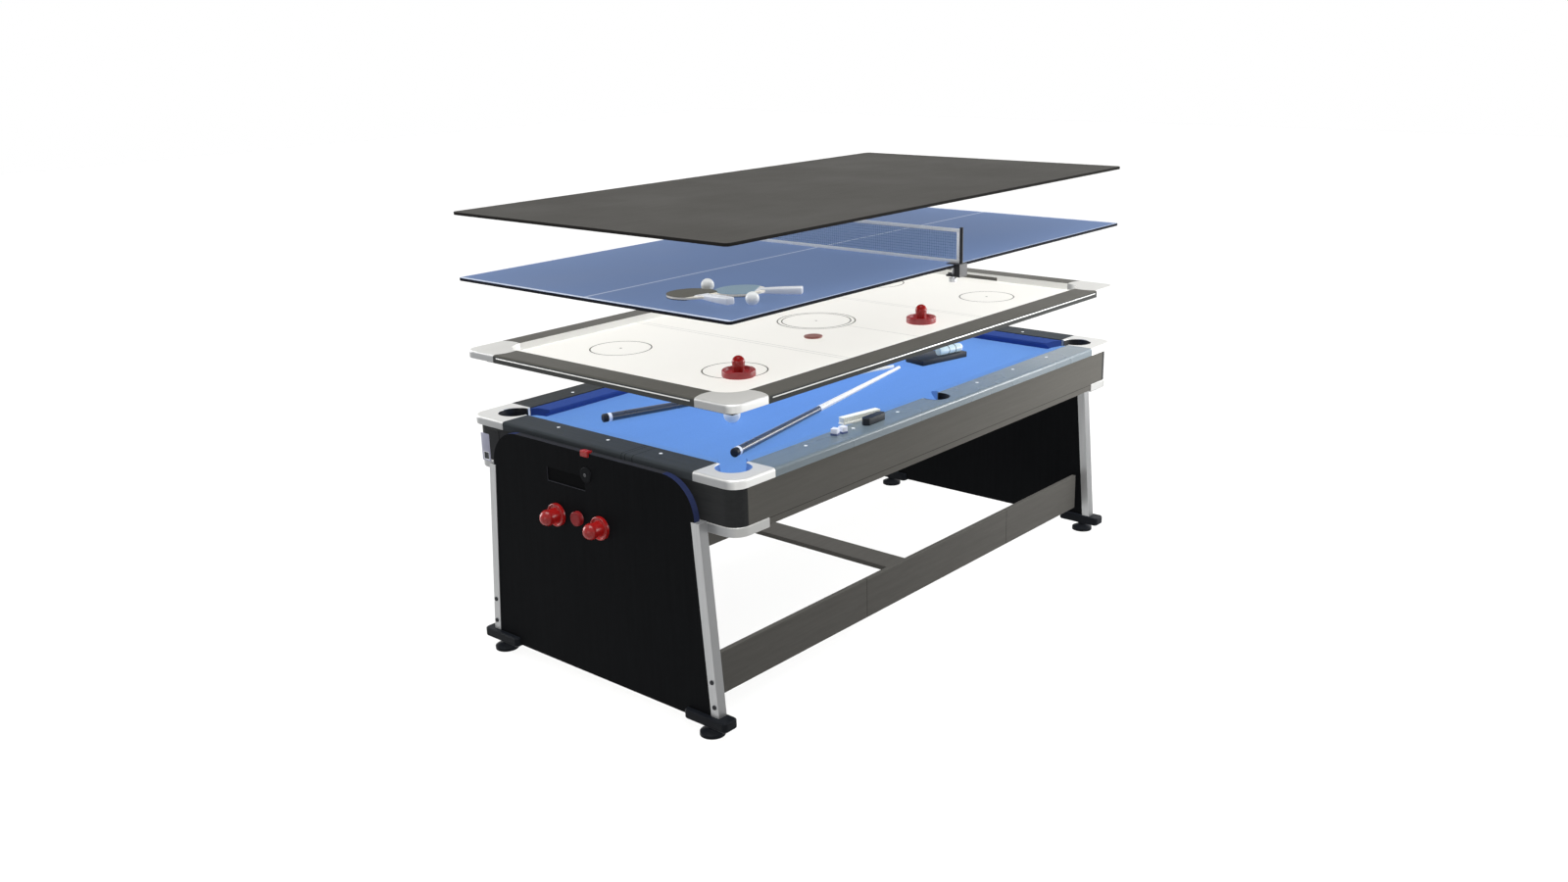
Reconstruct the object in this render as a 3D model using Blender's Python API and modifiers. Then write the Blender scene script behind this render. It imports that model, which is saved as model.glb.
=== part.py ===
# Multi game table: a pool table swinging in a two-ended stand, with a hockey tray,
# a table tennis top and a dining top held above it as in an exploded view.
# Metres, +Z up, origin on the floor under the middle of the table, +X along its length.

import math

import bmesh
import bpy
from mathutils import Matrix, Vector

# Driving sizes of the whole table
TABLE_LENGTH = 2.18
TABLE_WIDTH = 1.21
RAIL_TOP_HEIGHT = 0.815
CABINET_DEPTH = 0.178

# Gap kept between pieces that touch, and how far a cutter runs past what it cuts
SEAT_GAP = 0.0003
CUT_OVERRUN = 0.004
WELD_DISTANCE = 0.00001

# Pool rails and cushions
RAIL_FLAT_WIDTH = 0.105
RAIL_THICKNESS = 0.028
RAIL_EDGE_RADIUS = 0.009
RAIL_EDGE_STEPS = 4
BED_DROP = 0.040
BED_THICKNESS = 0.018
CUSHION_REACH = 0.050
CUSHION_TOP_STEP = 0.003
CUSHION_NOSE_DROP = 0.007
CUSHION_NOSE_HEIGHT = 0.009
CUSHION_FOOT = 0.022

# Cabinet boards
APRON_INSET = 0.012
APRON_THICKNESS = 0.018
APRON_CORNER_RADIUS = 0.050
APRON_JOINT_GAP = 0.0005
BOTTOM_BOARD_THICKNESS = 0.012
BOTTOM_BOARD_RAISE = 0.006
INLET_WIDTH = 0.070
INLET_HEIGHT = 0.100
INLET_STAND_OUT = 0.002
INLET_FROM_SIDE = 0.097

# Pockets and silver corner castings
CASTING_ARM = 0.170
CASTING_CORNER_RADIUS = 0.050
CASTING_THROAT_BEVEL = 0.003
CORNER_POCKET_INSET = 0.105
CORNER_POCKET_RADIUS = 0.055
SIDE_POCKET_INSET = 0.082
SIDE_POCKET_RADIUS = 0.045
CUP_WALL = 0.003
CUP_DEPTH = 0.085
CUP_LEDGE = 0.001
CUP_LIP_BELOW_BED = 0.003
SIDE_MOUTH_HALF = 0.062
CORNER_CUSHION_SLOPE = 0.85
SIDE_CUSHION_SLOPE = 0.30
BOTTOM_CAP_ARM = 0.150
BOTTOM_CAP_WALL = 0.0035
BOTTOM_CAP_BAND = 0.024
BOTTOM_CAP_FOOT = 0.006
BOTTOM_CAP_LEDGE = 0.040

# Swivel between cabinet and stand
SHAFT_RADIUS = 0.015
SHAFT_FLANGE_RADIUS = 0.050
SHAFT_FLANGE_THICKNESS = 0.008
SHAFT_RUNNING_GAP = 0.0004
BEARING_WALL = 0.006
BEARING_CAP_RADIUS = 0.025
BEARING_CAP_THICKNESS = 0.005
BEARING_CAP_BEVEL = 0.002

# End panels of the stand
PANEL_GAP = 0.005
PANEL_THICKNESS = 0.022
PANEL_TOP_BELOW_RAIL = 0.018
PANEL_TOP_RADIUS = 0.125
PANEL_FLOOR_GAP = 0.040
PANEL_INSET_TOP = 0.143
PANEL_INSET_FOOT = 0.093
TRIM_WIDTH = 0.032
TRIM_DEPTH = 0.036
TRIM_GROOVE = 0.012
TRIM_FACE = 0.0035
TRIM_EDGE_BEVEL = 0.002
SCORE_RECESS_WIDTH = 0.180
SCORE_RECESS_HEIGHT = 0.046
SCORE_RECESS_DEPTH = 0.004
SCORE_RECESS_FROM_MIDDLE = 0.100
SCORE_RECESS_BELOW_TOP = 0.103
PEG_RADIUS = 0.014
PEG_LENGTH = 0.020
PEG_BELOW_TOP = 0.232
PEG_SPACING = 0.204
PEG_FROM_MIDDLE = 0.048

# Latch that locks the cabinet level
LATCH_WIDTH = 0.034
LATCH_HEIGHT = 0.020
LATCH_SINK = 0.012
LATCH_BLOCK_LENGTH = 0.020
LATCH_STAND_OUT = 0.007
LATCH_PIN_RADIUS = 0.0040
LATCH_PIN_LENGTH = 0.0135
LATCH_HOLE_CLEARANCE = 0.0010
LATCH_HOLE_DEPTH = 0.016
LATCH_NOTCH_CLEARANCE = 0.0005
LATCH_EDGE_BEVEL = 0.0025

# Feet, stretchers and cross board
FOOT_WIDTH = 0.060
FOOT_HEIGHT = 0.032
FOOT_BOTTOM = 0.034
FOOT_INSIDE = 0.115
FOOT_OUTSIDE = 0.058
FOOT_END_RADIUS = 0.014
FOOT_TOP_BEVEL = 0.004
FOOT_SOCKET_DEPTH = 0.012
LEVELER_DISC_RADIUS = 0.040
LEVELER_DISC_THICKNESS = 0.016
LEVELER_DISC_EDGE = 0.005
LEVELER_STEM_RADIUS = 0.006
LEVELER_HUB_RADIUS = 0.016
LEVELER_STEM_INTO_FOOT = 0.015
LEVELER_STEM_END_GAP = 0.002
LEVELER_HOLE_CLEARANCE = 0.0004
LEVELER_FROM_PANEL_EDGE = 0.022
STRETCHER_THICKNESS = 0.018
STRETCHER_HEIGHT = 0.140
STRETCHER_BOTTOM = 0.088
STRETCHER_FROM_TRIM = 0.012
STRETCHER_EDGE_BEVEL = 0.0015
CROSS_BOARD_WIDTH = 0.110
CROSS_BOARD_THICKNESS = 0.018
CROSS_BOARD_BOTTOM = 0.150

# Hockey tray
TRAY_LIFT = 0.176
TRAY_RAIL_WIDTH = 0.088
TRAY_RAIL_HEIGHT = 0.026
TRAY_EDGE_RADIUS = 0.008
TRAY_EDGE_STEPS = 3
TRAY_BASE_THICKNESS = 0.022
TRAY_BASE_INSET = 0.050
TRAY_BASE_LAP = 0.002
TRAY_FIELD_THICKNESS = 0.003
TRAY_CASTING_ARM = 0.150
TRAY_CASTING_CORNER_RADIUS = 0.040
TRAY_CASTING_INNER_RADIUS = 0.075
TRAY_CASTING_ARM_BOW = 0.010
GOAL_WIDTH = 0.240
GOAL_HEIGHT = 0.014
GOAL_DEPTH = 0.066
GOAL_ABOVE_FIELD = 0.0006

# Table tennis top and net
TENNIS_LIFT = 0.228
TENNIS_THICKNESS = 0.010
TOP_CORNER_RADIUS = 0.016
NET_HEIGHT = 0.112
NET_FLOOR_GAP = 0.003
NET_THICKNESS = 0.0016
NET_TOP_BAND = 0.012
NET_BOTTOM_BAND = 0.007
NET_SIDE_BAND = 0.012
NET_COLUMNS = 46
NET_ROWS = 4
NET_STRAND = 0.0022
POST_RADIUS = 0.006
POST_HEIGHT = 0.120
POST_OUTSIDE = 0.014
CLAMP_WIDTH = 0.044
CLAMP_JAW_REACH = 0.030
CLAMP_JAW_THICKNESS = 0.006
CLAMP_BACK_THICKNESS = 0.023
CLAMP_DROP = 0.024
SCREW_RADIUS = 0.004
SCREW_PAD_RADIUS = 0.010
SCREW_PAD_THICKNESS = 0.003
SCREW_KNOB_RADIUS = 0.013
SCREW_KNOB_HEIGHT = 0.012
SCREW_BELOW_CLAMP = 0.008
SCREW_HOLE_CLEARANCE = 0.0004
SCREW_FROM_EDGE = 0.018

# Dining top
DINING_LIFT = 0.203
DINING_THICKNESS = 0.010

# Facets on round shapes
ROUND_STEPS = 32
SMALL_ROUND_STEPS = 16
ARC_STEPS = 8
POCKET_STEPS = 24
SIDE_POCKET_STEPS = 16
PANEL_ARC_STEPS = 10
SHORT_ARC_STEPS = 4
LEVELER_STEPS = 20

# Angles in degrees: shading, flat joints dissolved, and edges that a bevel rounds
SHARP_ANGLE = 35
FLAT_ANGLE = 0.05
BEVEL_ANGLE = 40
SQUARE_EDGE_ANGLE = 60

# Heights and places worked out from the sizes above
HALF_LENGTH = TABLE_LENGTH / 2
HALF_WIDTH = TABLE_WIDTH / 2
RAIL_BOTTOM = RAIL_TOP_HEIGHT - RAIL_THICKNESS
BED_TOP = RAIL_TOP_HEIGHT - BED_DROP
CABINET_BOTTOM = RAIL_TOP_HEIGHT - CABINET_DEPTH
PIVOT_HEIGHT = RAIL_TOP_HEIGHT - CABINET_DEPTH / 2
INLET_FROM_MIDDLE = HALF_WIDTH - INLET_FROM_SIDE
APRON_BOTTOM = CABINET_BOTTOM + BOTTOM_CAP_FOOT + SEAT_GAP
APRON_TOP = RAIL_BOTTOM - SEAT_GAP
BOARD_INSET = APRON_INSET + APRON_THICKNESS + SEAT_GAP
PANEL_INNER = HALF_LENGTH + PANEL_GAP
PANEL_OUTER = PANEL_INNER + PANEL_THICKNESS
PANEL_MIDDLE = PANEL_INNER + PANEL_THICKNESS / 2
PANEL_TOP_HEIGHT = RAIL_TOP_HEIGHT - PANEL_TOP_BELOW_RAIL
PANEL_HALF_WIDTH_TOP = HALF_WIDTH - PANEL_INSET_TOP
PANEL_HALF_WIDTH_FOOT = HALF_WIDTH - PANEL_INSET_FOOT
TRIM_TOP_HEIGHT = PANEL_TOP_HEIGHT - PANEL_TOP_RADIUS
SCORE_RECESS_HEIGHT_FROM_FLOOR = PANEL_TOP_HEIGHT - SCORE_RECESS_BELOW_TOP
PEG_HEIGHT_FROM_FLOOR = PANEL_TOP_HEIGHT - PEG_BELOW_TOP
LEVELER_HALF_SPACING = PANEL_HALF_WIDTH_FOOT - LEVELER_FROM_PANEL_EDGE
STRETCHER_FROM_MIDDLE = PANEL_HALF_WIDTH_TOP - STRETCHER_FROM_TRIM
FOOT_TOP = FOOT_BOTTOM + FOOT_HEIGHT
TRAY_BOTTOM = RAIL_TOP_HEIGHT + TRAY_LIFT
TRAY_RAIL_BOTTOM = TRAY_BOTTOM + TRAY_BASE_THICKNESS - TRAY_BASE_LAP
TRAY_TOP = TRAY_RAIL_BOTTOM + TRAY_RAIL_HEIGHT
FIELD_TOP = TRAY_BOTTOM + TRAY_BASE_THICKNESS
FIELD_BOTTOM = FIELD_TOP - TRAY_FIELD_THICKNESS
TENNIS_BOTTOM = TRAY_TOP + TENNIS_LIFT
TENNIS_TOP = TENNIS_BOTTOM + TENNIS_THICKNESS
DINING_BOTTOM = TENNIS_TOP + DINING_LIFT

COLOURS = {
    "charcoal_board": ((0.030, 0.030, 0.030), 0.55, 0.0),
    "black_board": ((0.010, 0.011, 0.013), 0.50, 0.0),
    "rail_laminate": ((0.045, 0.044, 0.040), 0.45, 0.0),
    "cloth": ((0.10, 0.22, 0.66), 0.95, 0.0),
    "cushion_cloth": ((0.06, 0.12, 0.48), 0.95, 0.0),
    "silver": ((0.62, 0.62, 0.60), 0.35, 0.6),
    "aluminium": ((0.50, 0.50, 0.51), 0.38, 0.9),
    "black_plastic": ((0.012, 0.012, 0.013), 0.45, 0.0),
    "red_plastic": ((0.55, 0.02, 0.02), 0.30, 0.0),
    "zinc": ((0.55, 0.55, 0.57), 0.35, 0.9),
    "tray_rail": ((0.085, 0.082, 0.072), 0.45, 0.0),
    "field_white": ((0.86, 0.84, 0.78), 0.30, 0.0),
    "tennis_blue": ((0.075, 0.125, 0.26), 0.55, 0.0),
    "net_white": ((0.62, 0.70, 0.78), 0.80, 0.0),
    "dining_taupe": ((0.072, 0.066, 0.060), 0.50, 0.0),
}

PARTS = bpy.data.collections.new("multi_game_table")
CUTTERS = bpy.data.collections.new("cutters")


def clear_scene():
    for obj in list(bpy.data.objects):
        bpy.data.objects.remove(obj, do_unlink=True)
    bpy.context.scene.collection.children.link(PARTS)
    bpy.context.scene.collection.children.link(CUTTERS)


def material(name):
    found = bpy.data.materials.get(name)
    if found:
        return found
    colour, roughness, metallic = COLOURS[name]
    made = bpy.data.materials.new(name)
    made.use_nodes = True
    shader = made.node_tree.nodes["Principled BSDF"]
    shader.inputs["Base Color"].default_value = (*colour, 1.0)
    shader.inputs["Roughness"].default_value = roughness
    shader.inputs["Metallic"].default_value = metallic
    made.diffuse_color = (*colour, 1.0)
    return made


def add_object(name, mesh, place=(0, 0, 0), turn=(0, 0, 0), collection=PARTS):
    obj = bpy.data.objects.new(name, mesh)
    obj.location = place
    obj.rotation_euler = turn
    collection.objects.link(obj)
    return obj


def finish(obj, colour):
    obj.data.materials.clear()
    obj.data.materials.append(material(colour))
    obj.data.shade_smooth()
    obj.data.set_sharp_from_angle(angle=math.radians(SHARP_ANGLE))
    return obj


def bevel(obj, width, segments=1, angle=BEVEL_ANGLE):
    mod = obj.modifiers.new("rounded_edges", "BEVEL")
    mod.width = width
    mod.segments = segments
    mod.limit_method = "ANGLE"
    mod.angle_limit = math.radians(angle)
    return obj


def box_mesh(name, low, high):
    bm = bmesh.new()
    bmesh.ops.create_cube(bm, size=1)
    low = Vector(low)
    high = Vector(high)
    size = high - low
    bmesh.ops.scale(bm, vec=size, verts=bm.verts)
    bmesh.ops.translate(bm, vec=(low + high) / 2, verts=bm.verts)
    mesh = bpy.data.meshes.new(name)
    bm.to_mesh(mesh)
    bm.free()
    return mesh


def rod_mesh(name, radius, low, high, steps=ROUND_STEPS):
    # A round bar along Z from low to high
    bm = bmesh.new()
    bmesh.ops.create_cone(
        bm, cap_ends=True, segments=steps, radius1=radius, radius2=radius, depth=high - low
    )
    bmesh.ops.translate(bm, vec=(0, 0, (low + high) / 2), verts=bm.verts)
    mesh = bpy.data.meshes.new(name)
    bm.to_mesh(mesh)
    bm.free()
    return mesh


def polar(centre, radius, angle):
    # A point at an angle in degrees round a centre
    a = math.radians(angle)
    return (centre[0] + radius * math.cos(a), centre[1] + radius * math.sin(a))


def arc(centre, radius, start, end, steps=ARC_STEPS):
    # Points from the start angle to the end angle
    return [polar(centre, radius, start + (end - start) * i / steps) for i in range(steps + 1)]


def without_repeats(points):
    # Drops each point that lies on the one before it
    kept = []
    for point in points:
        if not kept or math.dist(point, kept[-1]) > WELD_DISTANCE:
            kept.append(point)
    if math.dist(kept[0], kept[-1]) <= WELD_DISTANCE:
        kept.pop()
    return kept


def outline_mesh(name, outlines, low, high):
    # A flat outline, with any holes after the first loop, between two heights of its own Z
    curve = bpy.data.curves.new(name, "CURVE")
    curve.dimensions = "2D"
    curve.fill_mode = "BOTH"
    curve.extrude = (high - low) / 2
    for outline in outlines:
        points = without_repeats(outline)
        spline = curve.splines.new("POLY")
        spline.points.add(len(points) - 1)
        for point, (x, y) in zip(spline.points, points):
            point.co = (x, y, 0, 1)
        spline.use_cyclic_u = True
    guide = bpy.data.objects.new(name, curve)
    bpy.context.scene.collection.objects.link(guide)
    depsgraph = bpy.context.evaluated_depsgraph_get()
    mesh = bpy.data.meshes.new_from_object(guide.evaluated_get(depsgraph))
    bpy.data.objects.remove(guide)
    bm = bmesh.new()
    bm.from_mesh(mesh)
    bmesh.ops.remove_doubles(bm, verts=bm.verts, dist=WELD_DISTANCE)
    bmesh.ops.translate(bm, vec=(0, 0, (low + high) / 2), verts=bm.verts)
    bmesh.ops.dissolve_limit(
        bm, angle_limit=math.radians(FLAT_ANGLE), verts=bm.verts, edges=bm.edges
    )
    bmesh.ops.recalc_face_normals(bm, faces=bm.faces)
    bm.to_mesh(mesh)
    bm.free()
    mesh.name = name
    return mesh


def turned_object(name, profile, colour, place=(0, 0, 0), turn=(0, 0, 0), steps=ROUND_STEPS):
    # A profile of (radius, height) points, top to bottom on its outer side, turned about Z
    line = bpy.data.meshes.new(name)
    points = [(radius, 0, height) for radius, height in profile]
    edges = [(i, i + 1) for i in range(len(points) - 1)]
    line.from_pydata(points, edges, [])
    guide = add_object(name, line)
    mod = guide.modifiers.new("turned", "SCREW")
    mod.steps = steps
    mod.render_steps = steps
    mod.use_merge_vertices = True
    mod.merge_threshold = WELD_DISTANCE
    mesh = settled_mesh(guide)
    mesh.name = name
    return finish(add_object(name, mesh, place, turn), colour)


def boolean(obj, other, operation):
    mod = obj.modifiers.new(operation.lower(), "BOOLEAN")
    mod.operation = operation
    mod.solver = "EXACT"
    mod.object = other
    other.hide_render = True
    other.display_type = "WIRE"
    return obj


def cut(obj, mesh, place=(0, 0, 0), turn=(0, 0, 0)):
    cutter = add_object("cut_" + obj.name, mesh, place, turn, CUTTERS)
    return boolean(obj, cutter, "DIFFERENCE")


def join(obj, mesh, place=(0, 0, 0), turn=(0, 0, 0)):
    added = add_object("add_" + obj.name, mesh, place, turn, CUTTERS)
    return boolean(obj, added, "UNION")


def settled_mesh(obj):
    # The object's shape after its modifiers, to share between copies
    depsgraph = bpy.context.evaluated_depsgraph_get()
    depsgraph.update()
    mesh = bpy.data.meshes.new_from_object(obj.evaluated_get(depsgraph))
    for mod in obj.modifiers:
        if mod.type == "BOOLEAN":
            bpy.data.objects.remove(mod.object)
    bpy.data.objects.remove(obj)
    bm = bmesh.new()
    bm.from_mesh(mesh)
    bmesh.ops.remove_doubles(bm, verts=bm.verts, dist=WELD_DISTANCE)
    bmesh.ops.dissolve_limit(
        bm, angle_limit=math.radians(FLAT_ANGLE), verts=bm.verts, edges=bm.edges
    )
    bm.to_mesh(mesh)
    bm.free()
    return mesh


# Inward directions of the four sides: the angle that turns local +X to them
SIDES = {"near": 0.0, "front": 90.0, "far": 180.0, "rear": 270.0}


def side_place(side, height=0.0, inset=0.0):
    # The middle of one outer edge of the table, moved inwards by inset
    reach = {
        "near": (inset - HALF_LENGTH, 0),
        "far": (HALF_LENGTH - inset, 0),
        "front": (0, inset - HALF_WIDTH),
        "rear": (0, HALF_WIDTH - inset),
    }[side]
    return (*reach, height)


def side_length(side):
    return TABLE_WIDTH if side in ("near", "far") else TABLE_LENGTH


def profile_turn(side):
    # Stands a profile drawn as (inwards, up) across the side, extruded along the side
    return (math.radians(90), 0, math.radians(SIDES[side]))


CORNERS = {
    "near_front": (-1, -1, 0.0),
    "far_front": (1, -1, 90.0),
    "far_rear": (1, 1, 180.0),
    "near_rear": (-1, 1, 270.0),
}


def corner_place(corner, height=0.0):
    x, y, angle = CORNERS[corner]
    return (x * HALF_LENGTH, y * HALF_WIDTH, height), (0, 0, math.radians(angle))


def rail_profile():
    # Outer edge at zero, rounded at the top, with a step where it sits on the bed
    top = RAIL_TOP_HEIGHT
    radius = RAIL_EDGE_RADIUS
    points = [(0, RAIL_BOTTOM)]
    points.append((BOARD_INSET, RAIL_BOTTOM))
    points.append((BOARD_INSET, BED_TOP + SEAT_GAP))
    points.append((RAIL_FLAT_WIDTH, BED_TOP + SEAT_GAP))
    points.append((RAIL_FLAT_WIDTH, top))
    points += arc((radius, top - radius), radius, 90, 180, RAIL_EDGE_STEPS)
    return points


def make_rails():
    made = {}
    for side in SIDES:
        half = side_length(side) / 2 - CASTING_ARM - SEAT_GAP
        mesh = outline_mesh("rail_" + side, [rail_profile()], -half, half)
        rail = add_object("rail_" + side, mesh, side_place(side), profile_turn(side))
        made[side] = finish(rail, "rail_laminate")
    radius = SIDE_POCKET_RADIUS + CUP_WALL + SEAT_GAP
    for side in ("front", "rear"):
        low = BED_TOP - CUT_OVERRUN
        high = RAIL_TOP_HEIGHT + CUT_OVERRUN
        hole = rod_mesh("side_mouth", radius, low, high)
        cut(made[side], hole, side_place(side, inset=SIDE_POCKET_INSET))
    for side, sign in (("near", -1), ("far", 1)):
        radius = LATCH_PIN_RADIUS + LATCH_HOLE_CLEARANCE
        hole = rod_mesh("latch_hole", radius, -CUT_OVERRUN, LATCH_HOLE_DEPTH, SMALL_ROUND_STEPS)
        place = (sign * HALF_LENGTH, 0, latch_height())
        cut(made[side], hole, place, (0, math.radians(-90 * sign), 0))


def latch_height():
    return PANEL_TOP_HEIGHT - LATCH_SINK + LATCH_HEIGHT / 2


def cushion_profile():
    # Seated on the rail's inner face, sloping to a nose above the cloth
    root = RAIL_FLAT_WIDTH + SEAT_GAP
    top = RAIL_TOP_HEIGHT - CUSHION_TOP_STEP
    nose = RAIL_FLAT_WIDTH + CUSHION_REACH
    nose_top = top - CUSHION_NOSE_DROP
    return [
        (root, BED_TOP + SEAT_GAP),
        (root + CUSHION_FOOT, BED_TOP + SEAT_GAP),
        (nose, nose_top - CUSHION_NOSE_HEIGHT),
        (nose, nose_top),
        (root + CUSHION_FOOT, top),
        (root, top),
    ]


def make_cushion(name, side, start, end, start_slope, end_slope):
    # Runs from start to end along the side, with ends cut back towards the nose
    low = min(start, end)
    high = max(start, end)
    mesh = outline_mesh(name, [cushion_profile()], low, high)
    middle = (low + high) / 2
    for vertex in mesh.vertices:
        reach = vertex.co.x - RAIL_FLAT_WIDTH
        if vertex.co.z > middle:
            vertex.co.z -= reach * end_slope
        else:
            vertex.co.z += reach * start_slope
    obj = add_object(name, mesh, side_place(side), profile_turn(side))
    return finish(obj, "cushion_cloth")


def make_cushions():
    for side in ("near", "far"):
        half = side_length(side) / 2 - CASTING_ARM - SEAT_GAP
        slope = CORNER_CUSHION_SLOPE
        make_cushion("cushion_" + side, side, -half, half, slope, slope)
    for side in ("front", "rear"):
        outer = side_length(side) / 2 - CASTING_ARM - SEAT_GAP
        inner = SIDE_MOUTH_HALF
        corner, middle = CORNER_CUSHION_SLOPE, SIDE_CUSHION_SLOPE
        # The profile's own length axis points to +X on the front and to -X on the rear
        first, second = ("near", "far") if side == "front" else ("far", "near")
        make_cushion("cushion_%s_%s" % (side, first), side, -outer, -inner, corner, middle)
        make_cushion("cushion_%s_%s" % (side, second), side, inner, outer, middle, corner)


def rounded_rectangle(half_x, half_y, radius, steps=ARC_STEPS):
    points = []
    for x, y, start in ((1, -1, 270), (1, 1, 0), (-1, 1, 90), (-1, -1, 180)):
        centre = (x * (half_x - radius), y * (half_y - radius))
        points += arc(centre, radius, start, start + 90, steps)
    return points


def bed_outline():
    # Inside the aprons: the corners are cut off square, then round each pocket's cup
    edge = CORNER_POCKET_INSET - BOARD_INSET
    corner_x = HALF_LENGTH - CORNER_POCKET_INSET
    corner_y = HALF_WIDTH - CORNER_POCKET_INSET
    bite = CORNER_POCKET_RADIUS + CUP_WALL + SEAT_GAP
    side_bite = SIDE_POCKET_RADIUS + CUP_WALL + SEAT_GAP
    side_y = HALF_WIDTH - SIDE_POCKET_INSET
    half_y = HALF_WIDTH - BOARD_INSET
    points = []
    for x, y, start in ((1, -1, 270), (1, 1, 0), (-1, 1, 90), (-1, -1, 180)):
        centre = (x * corner_x, y * corner_y)
        points.append(polar(centre, edge, start))
        points += arc(centre, bite, start, start - 270, POCKET_STEPS)
        points.append(polar(centre, edge, start - 270))
        if (x, y) == (1, 1):
            points.append((side_bite, half_y))
            points += arc((0, side_y), side_bite, 0, -180, SIDE_POCKET_STEPS)
            points.append((-side_bite, half_y))
        if (x, y) == (-1, -1):
            points.append((-side_bite, -half_y))
            points += arc((0, -side_y), side_bite, 180, 0, SIDE_POCKET_STEPS)
            points.append((side_bite, -half_y))
    return points


def make_bed():
    mesh = outline_mesh("pool_bed", [bed_outline()], BED_TOP - BED_THICKNESS, BED_TOP)
    return finish(add_object("pool_bed", mesh), "cloth")


def make_side_aprons():
    half = HALF_LENGTH - APRON_INSET - APRON_CORNER_RADIUS - APRON_JOINT_GAP
    for side in ("front", "rear"):
        outer = APRON_INSET
        inner = APRON_INSET + APRON_THICKNESS
        profile = [(outer, APRON_BOTTOM), (inner, APRON_BOTTOM), (inner, APRON_TOP), (outer, APRON_TOP)]
        mesh = outline_mesh("side_apron_" + side, [profile], -half, half)
        obj = add_object("side_apron_" + side, mesh, side_place(side), profile_turn(side))
        finish(obj, "charcoal_board")


def end_apron_outline():
    # Seen from above at the near end: a board along Y with a quarter round at each end
    outer = APRON_INSET
    half = HALF_WIDTH - APRON_INSET
    radius = APRON_CORNER_RADIUS
    inner_radius = radius - APRON_THICKNESS
    centre_x = outer + radius
    centre_y = half - radius
    points = []
    points += arc((centre_x, -centre_y), radius, 270, 180)
    points += arc((centre_x, centre_y), radius, 180, 90)
    points += arc((centre_x, centre_y), inner_radius, 90, 180)
    points += arc((centre_x, -centre_y), inner_radius, 180, 270)
    return points


def make_end_aprons():
    for side, sign in (("near", -1), ("far", 1)):
        name = "end_apron_" + side
        mesh = outline_mesh(name, [end_apron_outline()], APRON_BOTTOM, APRON_TOP)
        turn = (0, 0, math.radians(SIDES[side]))
        obj = add_object(name, mesh, side_place(side), turn)
        finish(obj, "charcoal_board")
        face = HALF_LENGTH - APRON_INSET
        away = (0, math.radians(90 * sign), 0)
        flange = rod_mesh(
            "pivot_flange", SHAFT_FLANGE_RADIUS, -CUT_OVERRUN, SHAFT_FLANGE_THICKNESS
        )
        join(obj, flange, (sign * face, 0, PIVOT_HEIGHT), away)
        reach = PANEL_OUTER - face
        shaft = rod_mesh("pivot_shaft", SHAFT_RADIUS, 0, reach)
        join(obj, shaft, (sign * face, 0, PIVOT_HEIGHT), away)
        if side == "near":
            low_z = PIVOT_HEIGHT - INLET_HEIGHT / 2
            plate = box_mesh(
                "inlet_plate",
                (-face - INLET_STAND_OUT, INLET_FROM_MIDDLE - INLET_WIDTH / 2, low_z),
                (CUT_OVERRUN - face, INLET_FROM_MIDDLE + INLET_WIDTH / 2, low_z + INLET_HEIGHT),
            )
            join(obj, plate)


def make_bottom_board():
    low = APRON_BOTTOM + BOTTOM_BOARD_RAISE
    radius = APRON_CORNER_RADIUS - APRON_THICKNESS - SEAT_GAP
    outline = rounded_rectangle(HALF_LENGTH - BOARD_INSET, HALF_WIDTH - BOARD_INSET, radius)
    mesh = outline_mesh("bottom_board", [outline], low, low + BOTTOM_BOARD_THICKNESS)
    finish(add_object("bottom_board", mesh), "black_board")


def casting_outline():
    # Corner at zero, arms along +X and +Y, round pocket mouth open to the inside
    arm = CASTING_ARM
    width = RAIL_FLAT_WIDTH
    radius = CASTING_CORNER_RADIUS
    inset = CORNER_POCKET_INSET
    mouth = CORNER_POCKET_RADIUS
    points = [(arm, 0), (arm, width)]
    lean = math.degrees(math.asin((width - inset) / mouth))
    points += arc((inset, inset), mouth, 360 + lean, 90 - lean, POCKET_STEPS)
    points.append((width, arm))
    points.append((0, arm))
    points += arc((radius, radius), radius, 180, 270)
    return points


def casting_foot_outline():
    # The casting's inner part, which reaches down inside the aprons as the rails do
    points = casting_outline()
    flat = points[:-ARC_STEPS - 1]
    flat[0] = (CASTING_ARM, BOARD_INSET)
    flat[-1] = (BOARD_INSET, CASTING_ARM)
    radius = APRON_CORNER_RADIUS - APRON_THICKNESS - SEAT_GAP
    centre = BOARD_INSET + radius
    return flat + arc((centre, centre), radius, 180, 270)


def on_outer_edge(x, y):
    radius = CASTING_CORNER_RADIUS
    if min(x, y) < SEAT_GAP:
        return True
    return max(x, y) < radius and math.hypot(radius - x, radius - y) > radius - SEAT_GAP


def in_throat(x, y):
    distance = math.hypot(x - CORNER_POCKET_INSET, y - CORNER_POCKET_INSET)
    return abs(distance - CORNER_POCKET_RADIUS) < SEAT_GAP


def round_top_edges(mesh, height, chosen, width, segments):
    # Rounds the edges at one height whose ends both lie where the rule says
    bm = bmesh.new()
    bm.from_mesh(mesh)
    edges = []
    for edge in bm.edges:
        level = all(abs(v.co.z - height) < WELD_DISTANCE for v in edge.verts)
        if level and len(edge.link_faces) == 2 and all(chosen(v.co.x, v.co.y) for v in edge.verts):
            if edge.calc_face_angle() > math.radians(BEVEL_ANGLE):
                edges.append(edge)
    bmesh.ops.bevel(
        bm, geom=edges, offset=width, segments=segments, profile=0.5, affect="EDGES", material=-1
    )
    bm.to_mesh(mesh)
    bm.free()


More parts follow.
